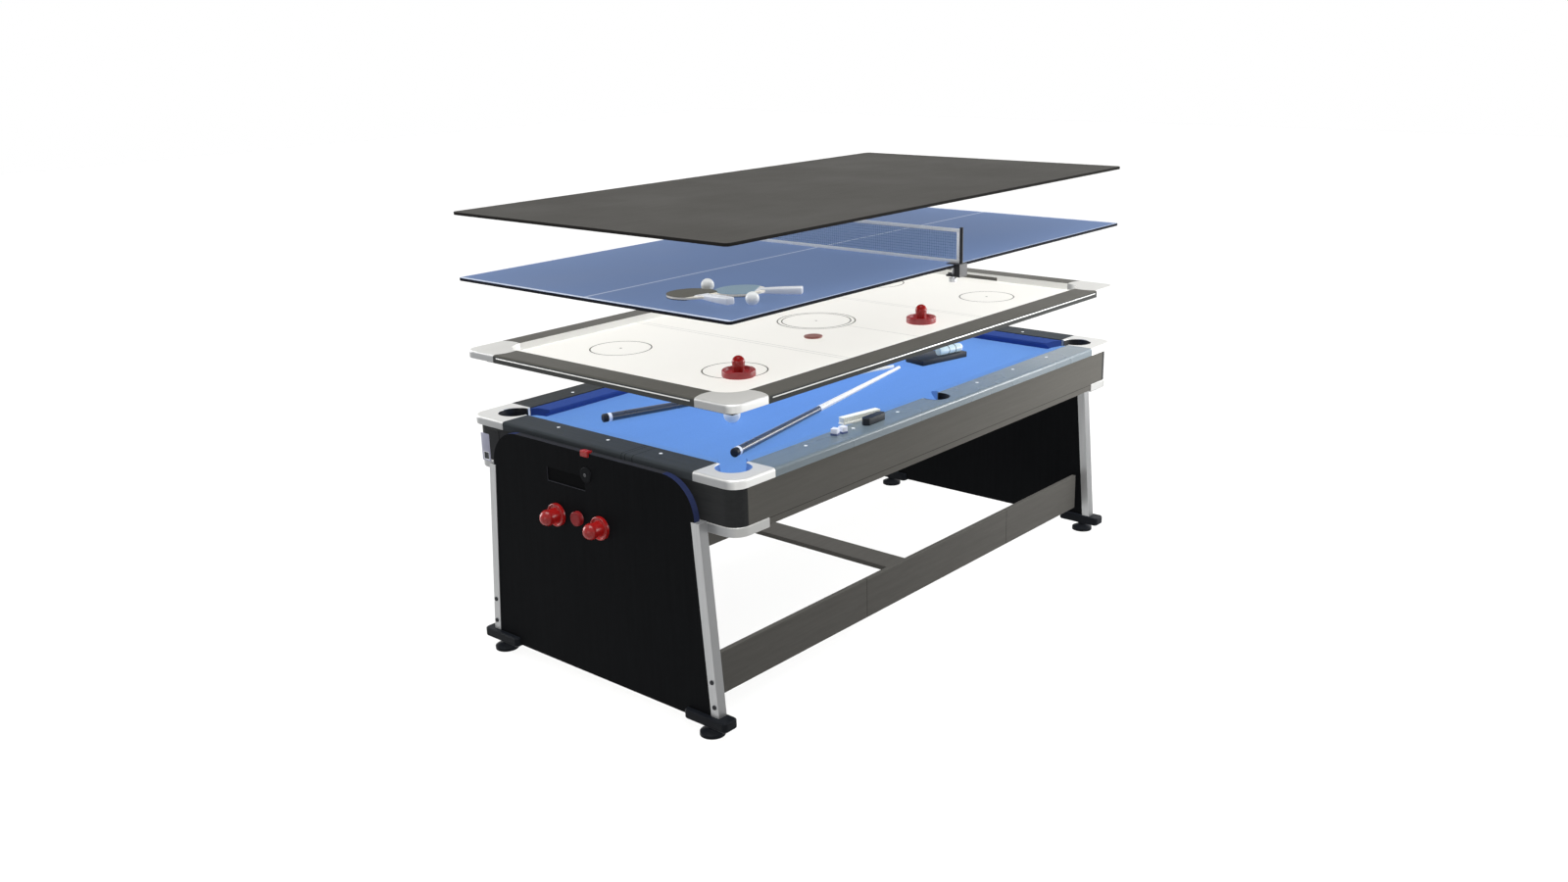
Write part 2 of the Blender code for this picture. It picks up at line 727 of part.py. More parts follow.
def corner_pocket_mesh():
    inset = CORNER_POCKET_INSET
    top = RAIL_TOP_HEIGHT
    mesh = outline_mesh("corner_casting", [casting_outline()], RAIL_BOTTOM, top)
    round_top_edges(mesh, top, on_outer_edge, RAIL_EDGE_RADIUS, RAIL_EDGE_STEPS)
    round_top_edges(mesh, top, in_throat, CASTING_THROAT_BEVEL, 2)
    casting = add_object("corner_casting", mesh)
    foot_top = RAIL_BOTTOM + RAIL_THICKNESS / 2
    foot = outline_mesh("casting_foot", [casting_foot_outline()], BED_TOP + SEAT_GAP, foot_top)
    join(casting, foot)
    outer = CORNER_POCKET_RADIUS + CUP_WALL
    inner = CORNER_POCKET_RADIUS - CUP_LEDGE
    floor = BED_TOP - CUP_DEPTH
    join(casting, rod_mesh("cup", outer, floor, foot_top), (inset, inset, 0))
    cut(casting, rod_mesh("cup_hollow", inner, floor + CUP_WALL, top), (inset, inset, 0))
    # On the table's side the cup ends under the cloth, so that a ball can roll in
    mouth_low = BED_TOP - CUP_LIP_BELOW_BED
    near = RAIL_FLAT_WIDTH + SEAT_GAP
    gate = box_mesh("cup_gate", (near, near, mouth_low), (near + outer * 2, near + outer * 2, top))
    cut(casting, gate)
    return settled_mesh(casting)


def make_corner_pockets():
    mesh = corner_pocket_mesh()
    mesh.name = "corner_pocket"
    for corner in CORNERS:
        place, turn = corner_place(corner)
        finish(add_object("corner_pocket_" + corner, mesh, place, turn), "silver")


def make_side_pockets():
    outer = SIDE_POCKET_RADIUS + CUP_WALL
    floor = BED_TOP - CUP_DEPTH
    inset = SIDE_POCKET_INSET
    cup = add_object("side_cup", rod_mesh("side_cup", outer, floor, RAIL_TOP_HEIGHT))
    cut(cup, rod_mesh("hollow", SIDE_POCKET_RADIUS, floor + CUP_WALL, RAIL_TOP_HEIGHT + CUT_OVERRUN))
    mouth_low = BED_TOP - CUP_LIP_BELOW_BED
    # Local +X points into the table
    gate = box_mesh(
        "gate",
        (RAIL_FLAT_WIDTH - inset - CUT_OVERRUN, -outer * 2, mouth_low),
        (outer * 2, outer * 2, RAIL_TOP_HEIGHT + CUT_OVERRUN),
    )
    cut(cup, gate)
    mesh = settled_mesh(cup)
    mesh.name = "side_pocket"
    for side in ("front", "rear"):
        turn = (0, 0, math.radians(SIDES[side]))
        place = side_place(side, inset=inset)
        finish(add_object("side_pocket_" + side, mesh, place, turn), "black_plastic")


def bottom_cap_outline(grow, arm, wall):
    # An angle round the apron's corner, grown outwards from its face
    outer = APRON_INSET - grow
    radius = APRON_CORNER_RADIUS + grow
    inner = outer + wall
    inner_radius = max(radius - wall, SEAT_GAP)
    points = [(arm, outer), (arm, inner)]
    centre = (outer + radius, outer + radius)
    if inner_radius > SEAT_GAP:
        points += arc(centre, inner_radius, 270, 180)
    else:
        points.append((inner, inner))
    points += [(inner, arm), (outer, arm)]
    points += arc(centre, radius, 180, 270)
    return points


def bottom_cap_mesh():
    # An angle bracket: a thin band outside the apron's corner and a ledge under its edge
    grow = BOTTOM_CAP_WALL + SEAT_GAP
    wall = grow + BOTTOM_CAP_LEDGE
    low = CABINET_BOTTOM
    high = low + BOTTOM_CAP_FOOT + BOTTOM_CAP_BAND
    mesh = outline_mesh("bottom_cap", [bottom_cap_outline(grow, BOTTOM_CAP_ARM, wall)], low, high)
    cap = add_object("bottom_cap", mesh)
    bevel(cap, BOTTOM_CAP_WALL / 2, segments=1, angle=SQUARE_EDGE_ANGLE)
    arm = BOTTOM_CAP_ARM + CUT_OVERRUN
    inside = outline_mesh(
        "cap_inside",
        [bottom_cap_outline(SEAT_GAP, arm, wall + BOTTOM_CAP_LEDGE)],
        APRON_BOTTOM - SEAT_GAP,
        high + CUT_OVERRUN,
    )
    cut(cap, inside)
    return settled_mesh(cap)


def make_bottom_caps():
    mesh = bottom_cap_mesh()
    mesh.name = "bottom_cap"
    for corner in CORNERS:
        place, turn = corner_place(corner)
        finish(add_object("bottom_cap_" + corner, mesh, place, turn), "silver")


def panel_half_width(height):
    # The slanted edge's distance from the middle
    share = (height - FOOT_TOP) / (TRIM_TOP_HEIGHT - FOOT_TOP)
    return PANEL_HALF_WIDTH_FOOT + (PANEL_HALF_WIDTH_TOP - PANEL_HALF_WIDTH_FOOT) * share


def panel_outline():
    # Drawn as (across, up): slanted sides and large round top corners
    top = PANEL_TOP_HEIGHT
    radius = PANEL_TOP_RADIUS
    right = [(panel_half_width(PANEL_FLOOR_GAP), PANEL_FLOOR_GAP)]
    right.append((PANEL_HALF_WIDTH_TOP, TRIM_TOP_HEIGHT))
    right += arc((PANEL_HALF_WIDTH_TOP - radius, top - radius), radius, 0, 90, PANEL_ARC_STEPS)
    left = [(-x, z) for x, z in reversed(right)]
    return right + left


def make_end_panels():
    for side, sign in (("near", -1), ("far", 1)):
        name = "end_panel_" + side
        thick = PANEL_THICKNESS / 2
        mesh = outline_mesh(name, [panel_outline()], -thick, thick)
        # Local X lies across the table, local Y up, local Z out of the end
        turn = (math.radians(90), 0, math.radians(90 * sign))
        panel = add_object(name, mesh, (sign * PANEL_MIDDLE, 0, 0), turn)
        finish(panel, "black_board")
        bore = SHAFT_RADIUS + SHAFT_RUNNING_GAP + BEARING_WALL + SEAT_GAP
        reach = thick + CUT_OVERRUN
        hole = rod_mesh("bearing_hole", bore, -reach, reach)
        along = (0, math.radians(90 * sign), 0)
        cut(panel, hole, (sign * PANEL_MIDDLE, 0, PIVOT_HEIGHT), along)
        half = LATCH_WIDTH / 2 + LATCH_NOTCH_CLEARANCE
        notch_low = PANEL_TOP_HEIGHT - LATCH_SINK - LATCH_NOTCH_CLEARANCE
        notch = box_mesh(
            "latch_notch", (-reach, -half, notch_low), (reach, half, PANEL_TOP_HEIGHT + CUT_OVERRUN)
        )
        cut(panel, notch, (sign * PANEL_MIDDLE, 0, 0))
        # Each lower corner stops on the floor of its foot's socket
        start = PANEL_HALF_WIDTH_FOOT - FOOT_INSIDE - SEAT_GAP
        end = PANEL_HALF_WIDTH_FOOT + FOOT_OUTSIDE
        foot_low = PANEL_FLOOR_GAP - CUT_OVERRUN
        foot_high = FOOT_TOP - FOOT_SOCKET_DEPTH + SEAT_GAP
        for low_y, high_y in ((-end, -start), (start, end)):
            relief = box_mesh("foot_relief", (-reach, low_y, foot_low), (reach, high_y, foot_high))
            cut(panel, relief, (sign * PANEL_MIDDLE, 0, 0))
        if side == "near":
            dress_near_panel(panel)


def dress_near_panel(panel):
    # Shallow rectangular recess, and the two pegs that the pushers hang on
    half = SCORE_RECESS_WIDTH / 2
    rise = SCORE_RECESS_HEIGHT / 2
    middle = SCORE_RECESS_FROM_MIDDLE
    recess = box_mesh(
        "recess",
        (-PANEL_OUTER - CUT_OVERRUN, middle - half, SCORE_RECESS_HEIGHT_FROM_FLOOR - rise),
        (SCORE_RECESS_DEPTH - PANEL_OUTER, middle + half, SCORE_RECESS_HEIGHT_FROM_FLOOR + rise),
    )
    cut(panel, recess)
    for sign in (-1, 1):
        across = PEG_FROM_MIDDLE + sign * PEG_SPACING / 2
        peg = rod_mesh("peg", PEG_RADIUS, -CUT_OVERRUN, PEG_LENGTH, SMALL_ROUND_STEPS)
        place = (-PANEL_OUTER, across, PEG_HEIGHT_FROM_FLOOR)
        join(panel, peg, place, (0, math.radians(-90), 0))


def trim_outline():
    # Channel seen from above: outward +X is the panel's edge direction, groove on its inner side
    wide = TRIM_WIDTH
    groove = TRIM_GROOVE
    outer = PANEL_THICKNESS / 2 + TRIM_FACE
    inner = outer - TRIM_DEPTH
    slot_low = -PANEL_THICKNESS / 2 - SEAT_GAP
    slot_high = PANEL_THICKNESS / 2 + SEAT_GAP
    soft = TRIM_EDGE_BEVEL
    return [
        (0, inner), (wide - soft, inner), (wide, inner + soft),
        (wide, outer - soft), (wide - soft, outer), (0, outer),
        (0, slot_high), (groove, slot_high), (groove, slot_low), (0, slot_low),
    ]


def make_leg_trims():
    low = FOOT_TOP + SEAT_GAP
    high = TRIM_TOP_HEIGHT
    lean = (panel_half_width(high) - panel_half_width(low)) / (high - low)
    shear = Matrix.Identity(4)
    shear[0][2] = lean
    for end, x in (("near", -1), ("far", 1)):
        for side, y in (("front", -1), ("rear", 1)):
            name = "leg_trim_%s_%s" % (end, side)
            mesh = outline_mesh(name, [trim_outline()], low, high)
            mesh.transform(Matrix.Translation((0, 0, -low)))
            mesh.transform(shear)
            mesh.transform(Matrix.Translation((0, 0, low)))
            # Local +X turns to the outward side, local +Y to the outward end
            frame = Matrix(((0, x, 0), (y, 0, 0), (0, 0, 1))).to_4x4()
            mesh.transform(frame)
            if frame.determinant() < 0:
                mesh.flip_normals()
            edge = panel_half_width(low) - TRIM_GROOVE + SEAT_GAP
            place = (x * PANEL_MIDDLE, y * edge, 0)
            finish(add_object(name, mesh, place), "aluminium")


def foot_mesh():
    # A bar along +X with round ends, a socket for the panel's corner and a hole for the leveler
    inside = -FOOT_INSIDE
    outside = FOOT_OUTSIDE
    half = FOOT_WIDTH / 2
    radius = FOOT_END_RADIUS
    points = []
    for x, y, start in ((outside, -1, 270), (outside, 1, 0), (inside, 1, 90), (inside, -1, 180)):
        centre_x = x - math.copysign(radius, x)
        points += arc((centre_x, y * (half - radius)), radius, start, start + 90, SHORT_ARC_STEPS)
    mesh = outline_mesh("foot", [points], FOOT_BOTTOM, FOOT_TOP)
    foot = add_object("foot", mesh)
    bevel(foot, FOOT_TOP_BEVEL, segments=1, angle=SQUARE_EDGE_ANGLE)
    socket_half = PANEL_THICKNESS / 2 + SEAT_GAP
    floor = FOOT_TOP - FOOT_SOCKET_DEPTH
    socket = box_mesh(
        "socket",
        (inside - CUT_OVERRUN, -socket_half, floor),
        (panel_half_width(floor) - PANEL_HALF_WIDTH_FOOT + SEAT_GAP, socket_half, FOOT_TOP + CUT_OVERRUN),
    )
    cut(foot, socket)
    radius = LEVELER_STEM_RADIUS + LEVELER_HOLE_CLEARANCE
    depth = FOOT_BOTTOM + LEVELER_STEM_INTO_FOOT + LEVELER_STEM_END_GAP
    hole = rod_mesh("leveler_hole", radius, FOOT_BOTTOM - CUT_OVERRUN, depth, SMALL_ROUND_STEPS)
    cut(foot, hole, (LEVELER_HALF_SPACING - PANEL_HALF_WIDTH_FOOT, 0, 0))
    return settled_mesh(foot)


def make_feet():
    mesh = foot_mesh()
    mesh.name = "foot"
    bottom = FOOT_BOTTOM - SEAT_GAP
    disc = LEVELER_DISC_RADIUS
    edge = LEVELER_DISC_EDGE
    thick = LEVELER_DISC_THICKNESS
    hub = LEVELER_HUB_RADIUS
    stem = LEVELER_STEM_RADIUS
    top = FOOT_BOTTOM + LEVELER_STEM_INTO_FOOT
    profile = [
        (0, top), (stem, top), (stem, bottom), (hub, bottom), (hub, thick + edge),
        (disc - edge * 2, thick), (disc, thick - edge), (disc, 0), (0, 0),
    ]
    for end, x in (("near", -1), ("far", 1)):
        for side, y in (("front", -1), ("rear", 1)):
            turn = (0, 0, math.radians(90 * y))
            place = (x * PANEL_MIDDLE, y * PANEL_HALF_WIDTH_FOOT, 0)
            finish(add_object("foot_%s_%s" % (end, side), mesh, place, turn), "black_plastic")
            place = (x * PANEL_MIDDLE, y * LEVELER_HALF_SPACING, 0)
            name = "leveler_%s_%s" % (end, side)
            turned_object(name, profile, "black_plastic", place, steps=LEVELER_STEPS)


def make_stretchers():
    half = PANEL_INNER - SEAT_GAP
    thick = STRETCHER_THICKNESS / 2
    high = STRETCHER_BOTTOM + STRETCHER_HEIGHT
    for side, y in (("front", -1), ("rear", 1)):
        low_corner = (-half, -thick, STRETCHER_BOTTOM)
        mesh = box_mesh("stretcher_" + side, low_corner, (half, thick, high))
        obj = add_object("stretcher_" + side, mesh, (0, y * STRETCHER_FROM_MIDDLE, 0))
        bevel(finish(obj, "charcoal_board"), STRETCHER_EDGE_BEVEL)
    reach = STRETCHER_FROM_MIDDLE - thick - SEAT_GAP
    mesh = box_mesh(
        "cross_board",
        (-CROSS_BOARD_WIDTH / 2, -reach, CROSS_BOARD_BOTTOM),
        (CROSS_BOARD_WIDTH / 2, reach, CROSS_BOARD_BOTTOM + CROSS_BOARD_THICKNESS),
    )
    bevel(finish(add_object("cross_board", mesh), "charcoal_board"), STRETCHER_EDGE_BEVEL)


def make_pivot_bearings():
    # A flanged cap: the sleeve fills the panel's hole and the shaft runs in it
    bore = SHAFT_RADIUS + SHAFT_RUNNING_GAP
    sleeve = bore + BEARING_WALL
    face = SEAT_GAP
    cap = face + BEARING_CAP_THICKNESS
    soft = BEARING_CAP_BEVEL
    back = -PANEL_THICKNESS
    profile = [
        (0, cap), (BEARING_CAP_RADIUS - soft, cap), (BEARING_CAP_RADIUS, cap - soft),
        (BEARING_CAP_RADIUS, face), (sleeve, face), (sleeve, back), (bore, back),
        (bore, face + soft), (0, face + soft),
    ]
    for end, sign in (("near", -1), ("far", 1)):
        place = (sign * PANEL_OUTER, 0, PIVOT_HEIGHT)
        turn = (0, math.radians(90 * sign), 0)
        turned_object("pivot_bearing_" + end, profile, "black_plastic", place, turn)


def make_latches():
    # A block in the panel's top notch, with a pin that slides into the rail's end
    for end, sign in (("near", -1), ("far", 1)):
        outer = PANEL_OUTER + LATCH_STAND_OUT
        inner = outer - LATCH_BLOCK_LENGTH
        half = LATCH_WIDTH / 2
        low = PANEL_TOP_HEIGHT - LATCH_SINK
        # Drawn from its own inner face outwards
        mesh = box_mesh("latch", (0, -half, low), (LATCH_BLOCK_LENGTH, half, low + LATCH_HEIGHT))
        place = (sign * inner, 0, 0)
        turn = (0, 0, 0 if sign > 0 else math.radians(180))
        obj = finish(add_object("latch_" + end, mesh, place, turn), "red_plastic")
        bevel(obj, LATCH_EDGE_BEVEL)
        pin = rod_mesh("pin", LATCH_PIN_RADIUS, -CUT_OVERRUN, LATCH_PIN_LENGTH, SMALL_ROUND_STEPS)
        join(obj, pin, (sign * inner, 0, latch_height()), (0, math.radians(-90 * sign), 0))


def tray_casting_outline():
    # Corner at zero: round outer corner, bowed arm ends, a large fillet on the inside
    middle = tray_fillet_middle()
    corner = TRAY_CASTING_CORNER_RADIUS
    points = tray_arm_end()
    points += arc((middle, middle), TRAY_CASTING_INNER_RADIUS, 270, 180)[1:-1]
    points += [(y, x) for x, y in reversed(tray_arm_end())]
    points += arc((corner, corner), corner, 180, 270)
    return points


def tray_fillet_middle():
    return TRAY_RAIL_WIDTH + TRAY_CASTING_INNER_RADIUS


def tray_arm_end(shift=0.0):
    # The bowed line where casting and rail meet, from the outer edge to the inner one
    points = []
    for i in range(SHORT_ARC_STEPS + 1):
        share = i / SHORT_ARC_STEPS
        along = TRAY_CASTING_ARM + (tray_fillet_middle() - TRAY_CASTING_ARM) * share
        bow = TRAY_CASTING_ARM_BOW * math.sin(math.pi * share)
        points.append((along + bow + shift, TRAY_RAIL_WIDTH * share))
    return points


def make_tray_corners():
    low = TRAY_RAIL_BOTTOM
    mesh = outline_mesh("hockey_corner", [tray_casting_outline()], low, TRAY_TOP)
    round_top_edges(mesh, TRAY_TOP, on_tray_edge, TRAY_EDGE_RADIUS, TRAY_EDGE_STEPS)
    casting = add_object("hockey_corner", mesh)
    # Rebated over the base board, which carries it
    base = base_outline_in_corner()
    top = TRAY_BOTTOM + TRAY_BASE_THICKNESS + SEAT_GAP
    cut(casting, outline_mesh("rebate", [base], low - CUT_OVERRUN, top))
    mesh = settled_mesh(casting)
    mesh.name = "hockey_corner"
    for corner in CORNERS:
        place, turn = corner_place(corner)
        finish(add_object("hockey_corner_" + corner, mesh, place, turn), "silver")


def on_tray_edge(x, y):
    radius = TRAY_CASTING_CORNER_RADIUS
    if min(x, y) < SEAT_GAP:
        return True
    return max(x, y) < radius and math.hypot(radius - x, radius - y) > radius - SEAT_GAP


def base_outline_in_corner():
    inset = TRAY_BASE_INSET - SEAT_GAP
    reach = TRAY_CASTING_ARM * 2
    return [(inset, inset), (reach, inset), (reach, reach), (inset, reach)]


def tray_rail_outline(length):
    # One rail seen from above: outer edge on local -X side, ends bowed to fit the castings
    half = length / 2
    ends = tray_arm_end(SEAT_GAP)
    right = [(across, half - along) for along, across in ends]
    left = [(across, along - half) for along, across in reversed(ends)]
    return right + left


def make_hockey_tray():
    half_x = HALF_LENGTH - TRAY_BASE_INSET
    half_y = HALF_WIDTH - TRAY_BASE_INSET
    name = "hockey_frame"
    mesh = box_mesh(
        name, (-half_x, -half_y, TRAY_BOTTOM), (half_x, half_y, TRAY_BOTTOM + TRAY_BASE_THICKNESS)
    )
    tray = add_object(name, mesh)
    # The playing sheet is let into the base, so that its face is level with it
    recess = [field_outline(SEAT_GAP)]
    floor = FIELD_BOTTOM - SEAT_GAP
    cut(tray, outline_mesh("recess", recess, floor, FIELD_TOP + CUT_OVERRUN))
    for side in SIDES:
        outline = tray_rail_outline(side_length(side))
        rail = outline_mesh("tray_rail", [outline], TRAY_RAIL_BOTTOM, TRAY_TOP)
        round_top_edges(
            rail, TRAY_TOP, lambda x, y: x < SEAT_GAP, TRAY_EDGE_RADIUS, TRAY_EDGE_STEPS
        )
        turn = (0, 0, math.radians(SIDES[side]))
        join(tray, rail, side_place(side), turn)
    slot_low = FIELD_TOP + GOAL_ABOVE_FIELD
    inner = HALF_LENGTH - TRAY_RAIL_WIDTH
    for sign in (-1, 1):
        ends = sorted((sign * (inner - CUT_OVERRUN), sign * (inner + GOAL_DEPTH)))
        slot = box_mesh(
            "goal",
            (ends[0], -GOAL_WIDTH / 2, slot_low),
            (ends[1], GOAL_WIDTH / 2, slot_low + GOAL_HEIGHT),
        )
        cut(tray, slot)
    return finish(tray, "tray_rail")


def field_outline(gap):
    # Inside the rails by a gap, with corners that follow the castings' fillets
    half_x = HALF_LENGTH - TRAY_RAIL_WIDTH - gap
    half_y = HALF_WIDTH - TRAY_RAIL_WIDTH - gap
    return rounded_rectangle(half_x, half_y, TRAY_CASTING_INNER_RADIUS - gap)


def make_field():
    outline = field_outline(SEAT_GAP * 2)
    mesh = outline_mesh("hockey_field", [outline], FIELD_BOTTOM, FIELD_TOP)
    return finish(add_object("hockey_field", mesh), "field_white")


def make_tops():
    outline = rounded_rectangle(HALF_LENGTH, HALF_WIDTH, TOP_CORNER_RADIUS, SHORT_ARC_STEPS)
    mesh = outline_mesh("tennis_top", [outline], TENNIS_BOTTOM, TENNIS_TOP)
    finish(add_object("tennis_top", mesh), "tennis_blue")
    mesh = outline_mesh("dining_top", [outline], DINING_BOTTOM, DINING_BOTTOM + DINING_THICKNESS)
    finish(add_object("dining_top", mesh), "dining_taupe")


def post_from_middle():
    return HALF_WIDTH + POST_OUTSIDE


def make_net():
    # One flat lattice in its bands, between the two posts
    half = post_from_middle() - POST_RADIUS - SEAT_GAP
    low = TENNIS_TOP + NET_FLOOR_GAP
    high = low + NET_HEIGHT
    loops = [[(-half, low), (half, low), (half, high), (-half, high)]]
    left = NET_SIDE_BAND - half
    pitch_x = (2 * half - 2 * NET_SIDE_BAND + NET_STRAND) / NET_COLUMNS
    bottom = low + NET_BOTTOM_BAND
    pitch_z = (NET_HEIGHT - NET_TOP_BAND - NET_BOTTOM_BAND + NET_STRAND) / NET_ROWS
    for column in range(NET_COLUMNS):
        for row in range(NET_ROWS):
            x = left + column * pitch_x
            z = bottom + row * pitch_z
            wide = pitch_x - NET_STRAND
            tall = pitch_z - NET_STRAND
            loops.append([(x, z), (x + wide, z), (x + wide, z + tall), (x, z + tall)])
    mesh = outline_mesh("net", loops, -NET_THICKNESS / 2, NET_THICKNESS / 2)
    turn = (math.radians(90), 0, math.radians(90))
    return finish(add_object("net", mesh, (0, 0, 0), turn), "net_white")


def clamp_outline():
    # Drawn as (inwards from the top's edge, up): jaws above and below the top, back outside
    back = -CLAMP_BACK_THICKNESS
    jaw = CLAMP_JAW_REACH
    upper = TENNIS_TOP + SEAT_GAP
    lower = TENNIS_BOTTOM - CLAMP_DROP
    thick = CLAMP_JAW_THICKNESS
    return [
        (back, lower - thick), (jaw, lower - thick), (jaw, lower), (-SEAT_GAP, lower),
        (-SEAT_GAP, upper), (jaw, upper), (jaw, upper + NET_FLOOR_GAP - SEAT_GAP * 2),
        (back, upper + NET_FLOOR_GAP - SEAT_GAP * 2),
    ]


def make_net_posts():
    lower = TENNIS_BOTTOM - CLAMP_DROP
    for side, y in (("front", -1), ("rear", 1)):
        name = "net_post_" + side
        half = CLAMP_WIDTH / 2
        mesh = outline_mesh(name, [clamp_outline()], -half, half)
        post = add_object(name, mesh, side_place(side), profile_turn(side))
        finish(post, "black_plastic")
        high = TENNIS_TOP + POST_HEIGHT
        upright = rod_mesh("upright", POST_RADIUS, TENNIS_BOTTOM, high, SMALL_ROUND_STEPS)
        join(post, upright, (0, y * post_from_middle(), 0))
        radius = SCREW_RADIUS + SCREW_HOLE_CLEARANCE
        low = lower - CLAMP_JAW_THICKNESS - CUT_OVERRUN
        hole = rod_mesh("screw_hole", radius, low, lower + CUT_OVERRUN, SMALL_ROUND_STEPS)
        screw_y = y * (HALF_WIDTH - SCREW_FROM_EDGE)
        cut(post, hole, (0, screw_y, 0))
        make_clamp_screw(side, screw_y)


def make_clamp_screw(side, screw_y):
    top = TENNIS_BOTTOM - SEAT_GAP
    pad = top - SCREW_PAD_THICKNESS
    jaw = TENNIS_BOTTOM - CLAMP_DROP - CLAMP_JAW_THICKNESS
    knob_top = jaw - SCREW_BELOW_CLAMP
    knob = knob_top - SCREW_KNOB_HEIGHT
    profile = [
        (0, top), (SCREW_PAD_RADIUS, top), (SCREW_PAD_RADIUS, pad), (SCREW_RADIUS, pad),
        (SCREW_RADIUS, knob_top), (SCREW_KNOB_RADIUS, knob_top), (SCREW_KNOB_RADIUS, knob), (0, knob),
    ]
    shifted = [(radius, height - top) for radius, height in profile]
    place = (0, screw_y, top)
    turned_object("clamp_screw_" + side, shifted, "zinc", place, steps=SMALL_ROUND_STEPS)


def main():
    clear_scene()
    make_end_panels()
    make_leg_trims()
    make_feet()
    make_stretchers()
    make_pivot_bearings()
    make_latches()
    make_side_aprons()
    make_end_aprons()
    make_bottom_board()
    make_bed()
    make_rails()
    make_cushions()
    make_corner_pockets()
    make_side_pockets()
    make_bottom_caps()
    make_hockey_tray()
    make_field()
    make_tray_corners()
    make_tops()
    make_net()
    make_net_posts()


main()
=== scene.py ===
import math

import bmesh
import bpy
from mathutils import Matrix, Vector


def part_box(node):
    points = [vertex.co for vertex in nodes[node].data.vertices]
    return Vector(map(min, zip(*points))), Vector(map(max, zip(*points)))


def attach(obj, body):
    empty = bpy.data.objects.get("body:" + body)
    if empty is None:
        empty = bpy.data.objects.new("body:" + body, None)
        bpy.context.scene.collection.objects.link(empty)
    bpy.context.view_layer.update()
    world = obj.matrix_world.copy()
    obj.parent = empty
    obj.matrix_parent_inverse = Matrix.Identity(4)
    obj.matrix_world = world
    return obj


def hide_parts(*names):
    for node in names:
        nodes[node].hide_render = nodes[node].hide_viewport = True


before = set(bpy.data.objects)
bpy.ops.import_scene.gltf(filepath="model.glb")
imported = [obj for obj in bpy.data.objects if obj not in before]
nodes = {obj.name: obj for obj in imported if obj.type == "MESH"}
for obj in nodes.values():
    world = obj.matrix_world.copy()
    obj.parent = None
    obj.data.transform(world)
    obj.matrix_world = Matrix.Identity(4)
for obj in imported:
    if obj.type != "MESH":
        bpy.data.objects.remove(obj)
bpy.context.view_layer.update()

# Looks of a multi game table: pool table in its stand, hockey tray, tennis top and dining top
# held above each other. Metres, +X along the table, -Y towards the viewer's side, +Z up.

mergeDistance = 0.00002
restGap = 0.0004    # kept between an added piece and the face that carries it

# What the loose gear and trims sit on; the table is centred, so the highest corner of a level
# gives its half sizes and its top
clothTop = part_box("pool_bed")[1].z
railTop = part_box("rail_front")[1].z
railEdge = -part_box("rail_front")[0].y
railEnd = -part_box("rail_near")[0].x
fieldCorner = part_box("hockey_field")[1]
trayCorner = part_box("hockey_frame")[1]
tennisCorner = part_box("tennis_top")[1]
panelFace = -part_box("end_panel_far")[1].x    # outer face of the near end panel
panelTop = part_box("end_panel_near")[1].z
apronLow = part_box("side_apron_front")[0].z
print("frame loaded:", len(nodes), "nodes")


class Tree:
    # A node tree, with short ways to add what the finishes are made of
    def __init__(self, nodeTree):
        self.nodeTree = nodeTree

    def feed(self, socket, value):
        # A link, or a plain value on the socket
        if isinstance(value, bpy.types.NodeSocket):
            self.nodeTree.links.new(value, socket)
        else:
            socket.default_value = value

    def add(self, kind, values=(), **settings):
        # A node whose inputs take the values in order or by title; gives its outputs
        node = self.nodeTree.nodes.new("ShaderNode" + kind)
        for key, value in settings.items():
            setattr(node, key, value)
        for key, value in (values.items() if isinstance(values, dict) else enumerate(values)):
            self.feed(node.inputs[key], value)
        return node.outputs

    def calc(self, operation, *values, clamp=False):
        return self.add("Math", values, operation=operation, use_clamp=clamp)[0]

    def times(self, first, second):
        return self.calc("MULTIPLY", first, second)

    def absolute(self, value):
        return self.calc("ABSOLUTE", value)

    def opposite(self, mask):
        return self.calc("SUBTRACT", 1.0, mask)

    def vector(self, operation, *values):
        outputs = self.add("VectorMath", values, operation=operation)
        return outputs["Value" if operation in ("LENGTH", "DOT_PRODUCT") else "Vector"]

    def mix(self, mask, first, second):
        # A colour is three linear numbers or a link
        first, second = ((*item, 1.0) if isinstance(item, tuple) else item for item in (first, second))
        return self.add("Mix", {0: mask, 6: first, 7: second}, data_type="RGBA")[2]

    def remap(self, value, fromLow, fromHigh, toLow=0.0, toHigh=1.0):
        return self.add("MapRange", (value, fromLow, fromHigh, toLow, toHigh))[0]

    def noise(self, vector, scale, detail, roughness, distortion=0.0):
        values = {"Vector": vector, "Scale": scale, "Detail": detail, "Roughness": roughness,
                  "Distortion": distortion}
        return self.add("TexNoise", values)["Fac"]


# Effects that several materials share: each takes its inputs and gives its outputs by title

def boardGrain(tree, given):
    # Printed laminate grain: long streaks with fine pores between them
    along = tree.vector("MULTIPLY", given["Vector"], given["Stretch"])
    streak = tree.noise(along, given["Scale"], 6.0, 0.62, 0.4)
    pore = tree.noise(along, tree.times(given["Scale"], 9.0), 3.0, 0.5)
    both = tree.calc("MULTIPLY_ADD", pore, 0.35, tree.times(streak, 0.65))
    return {"Tone": tree.remap(both, 0.34, 0.66), "Height": pore}


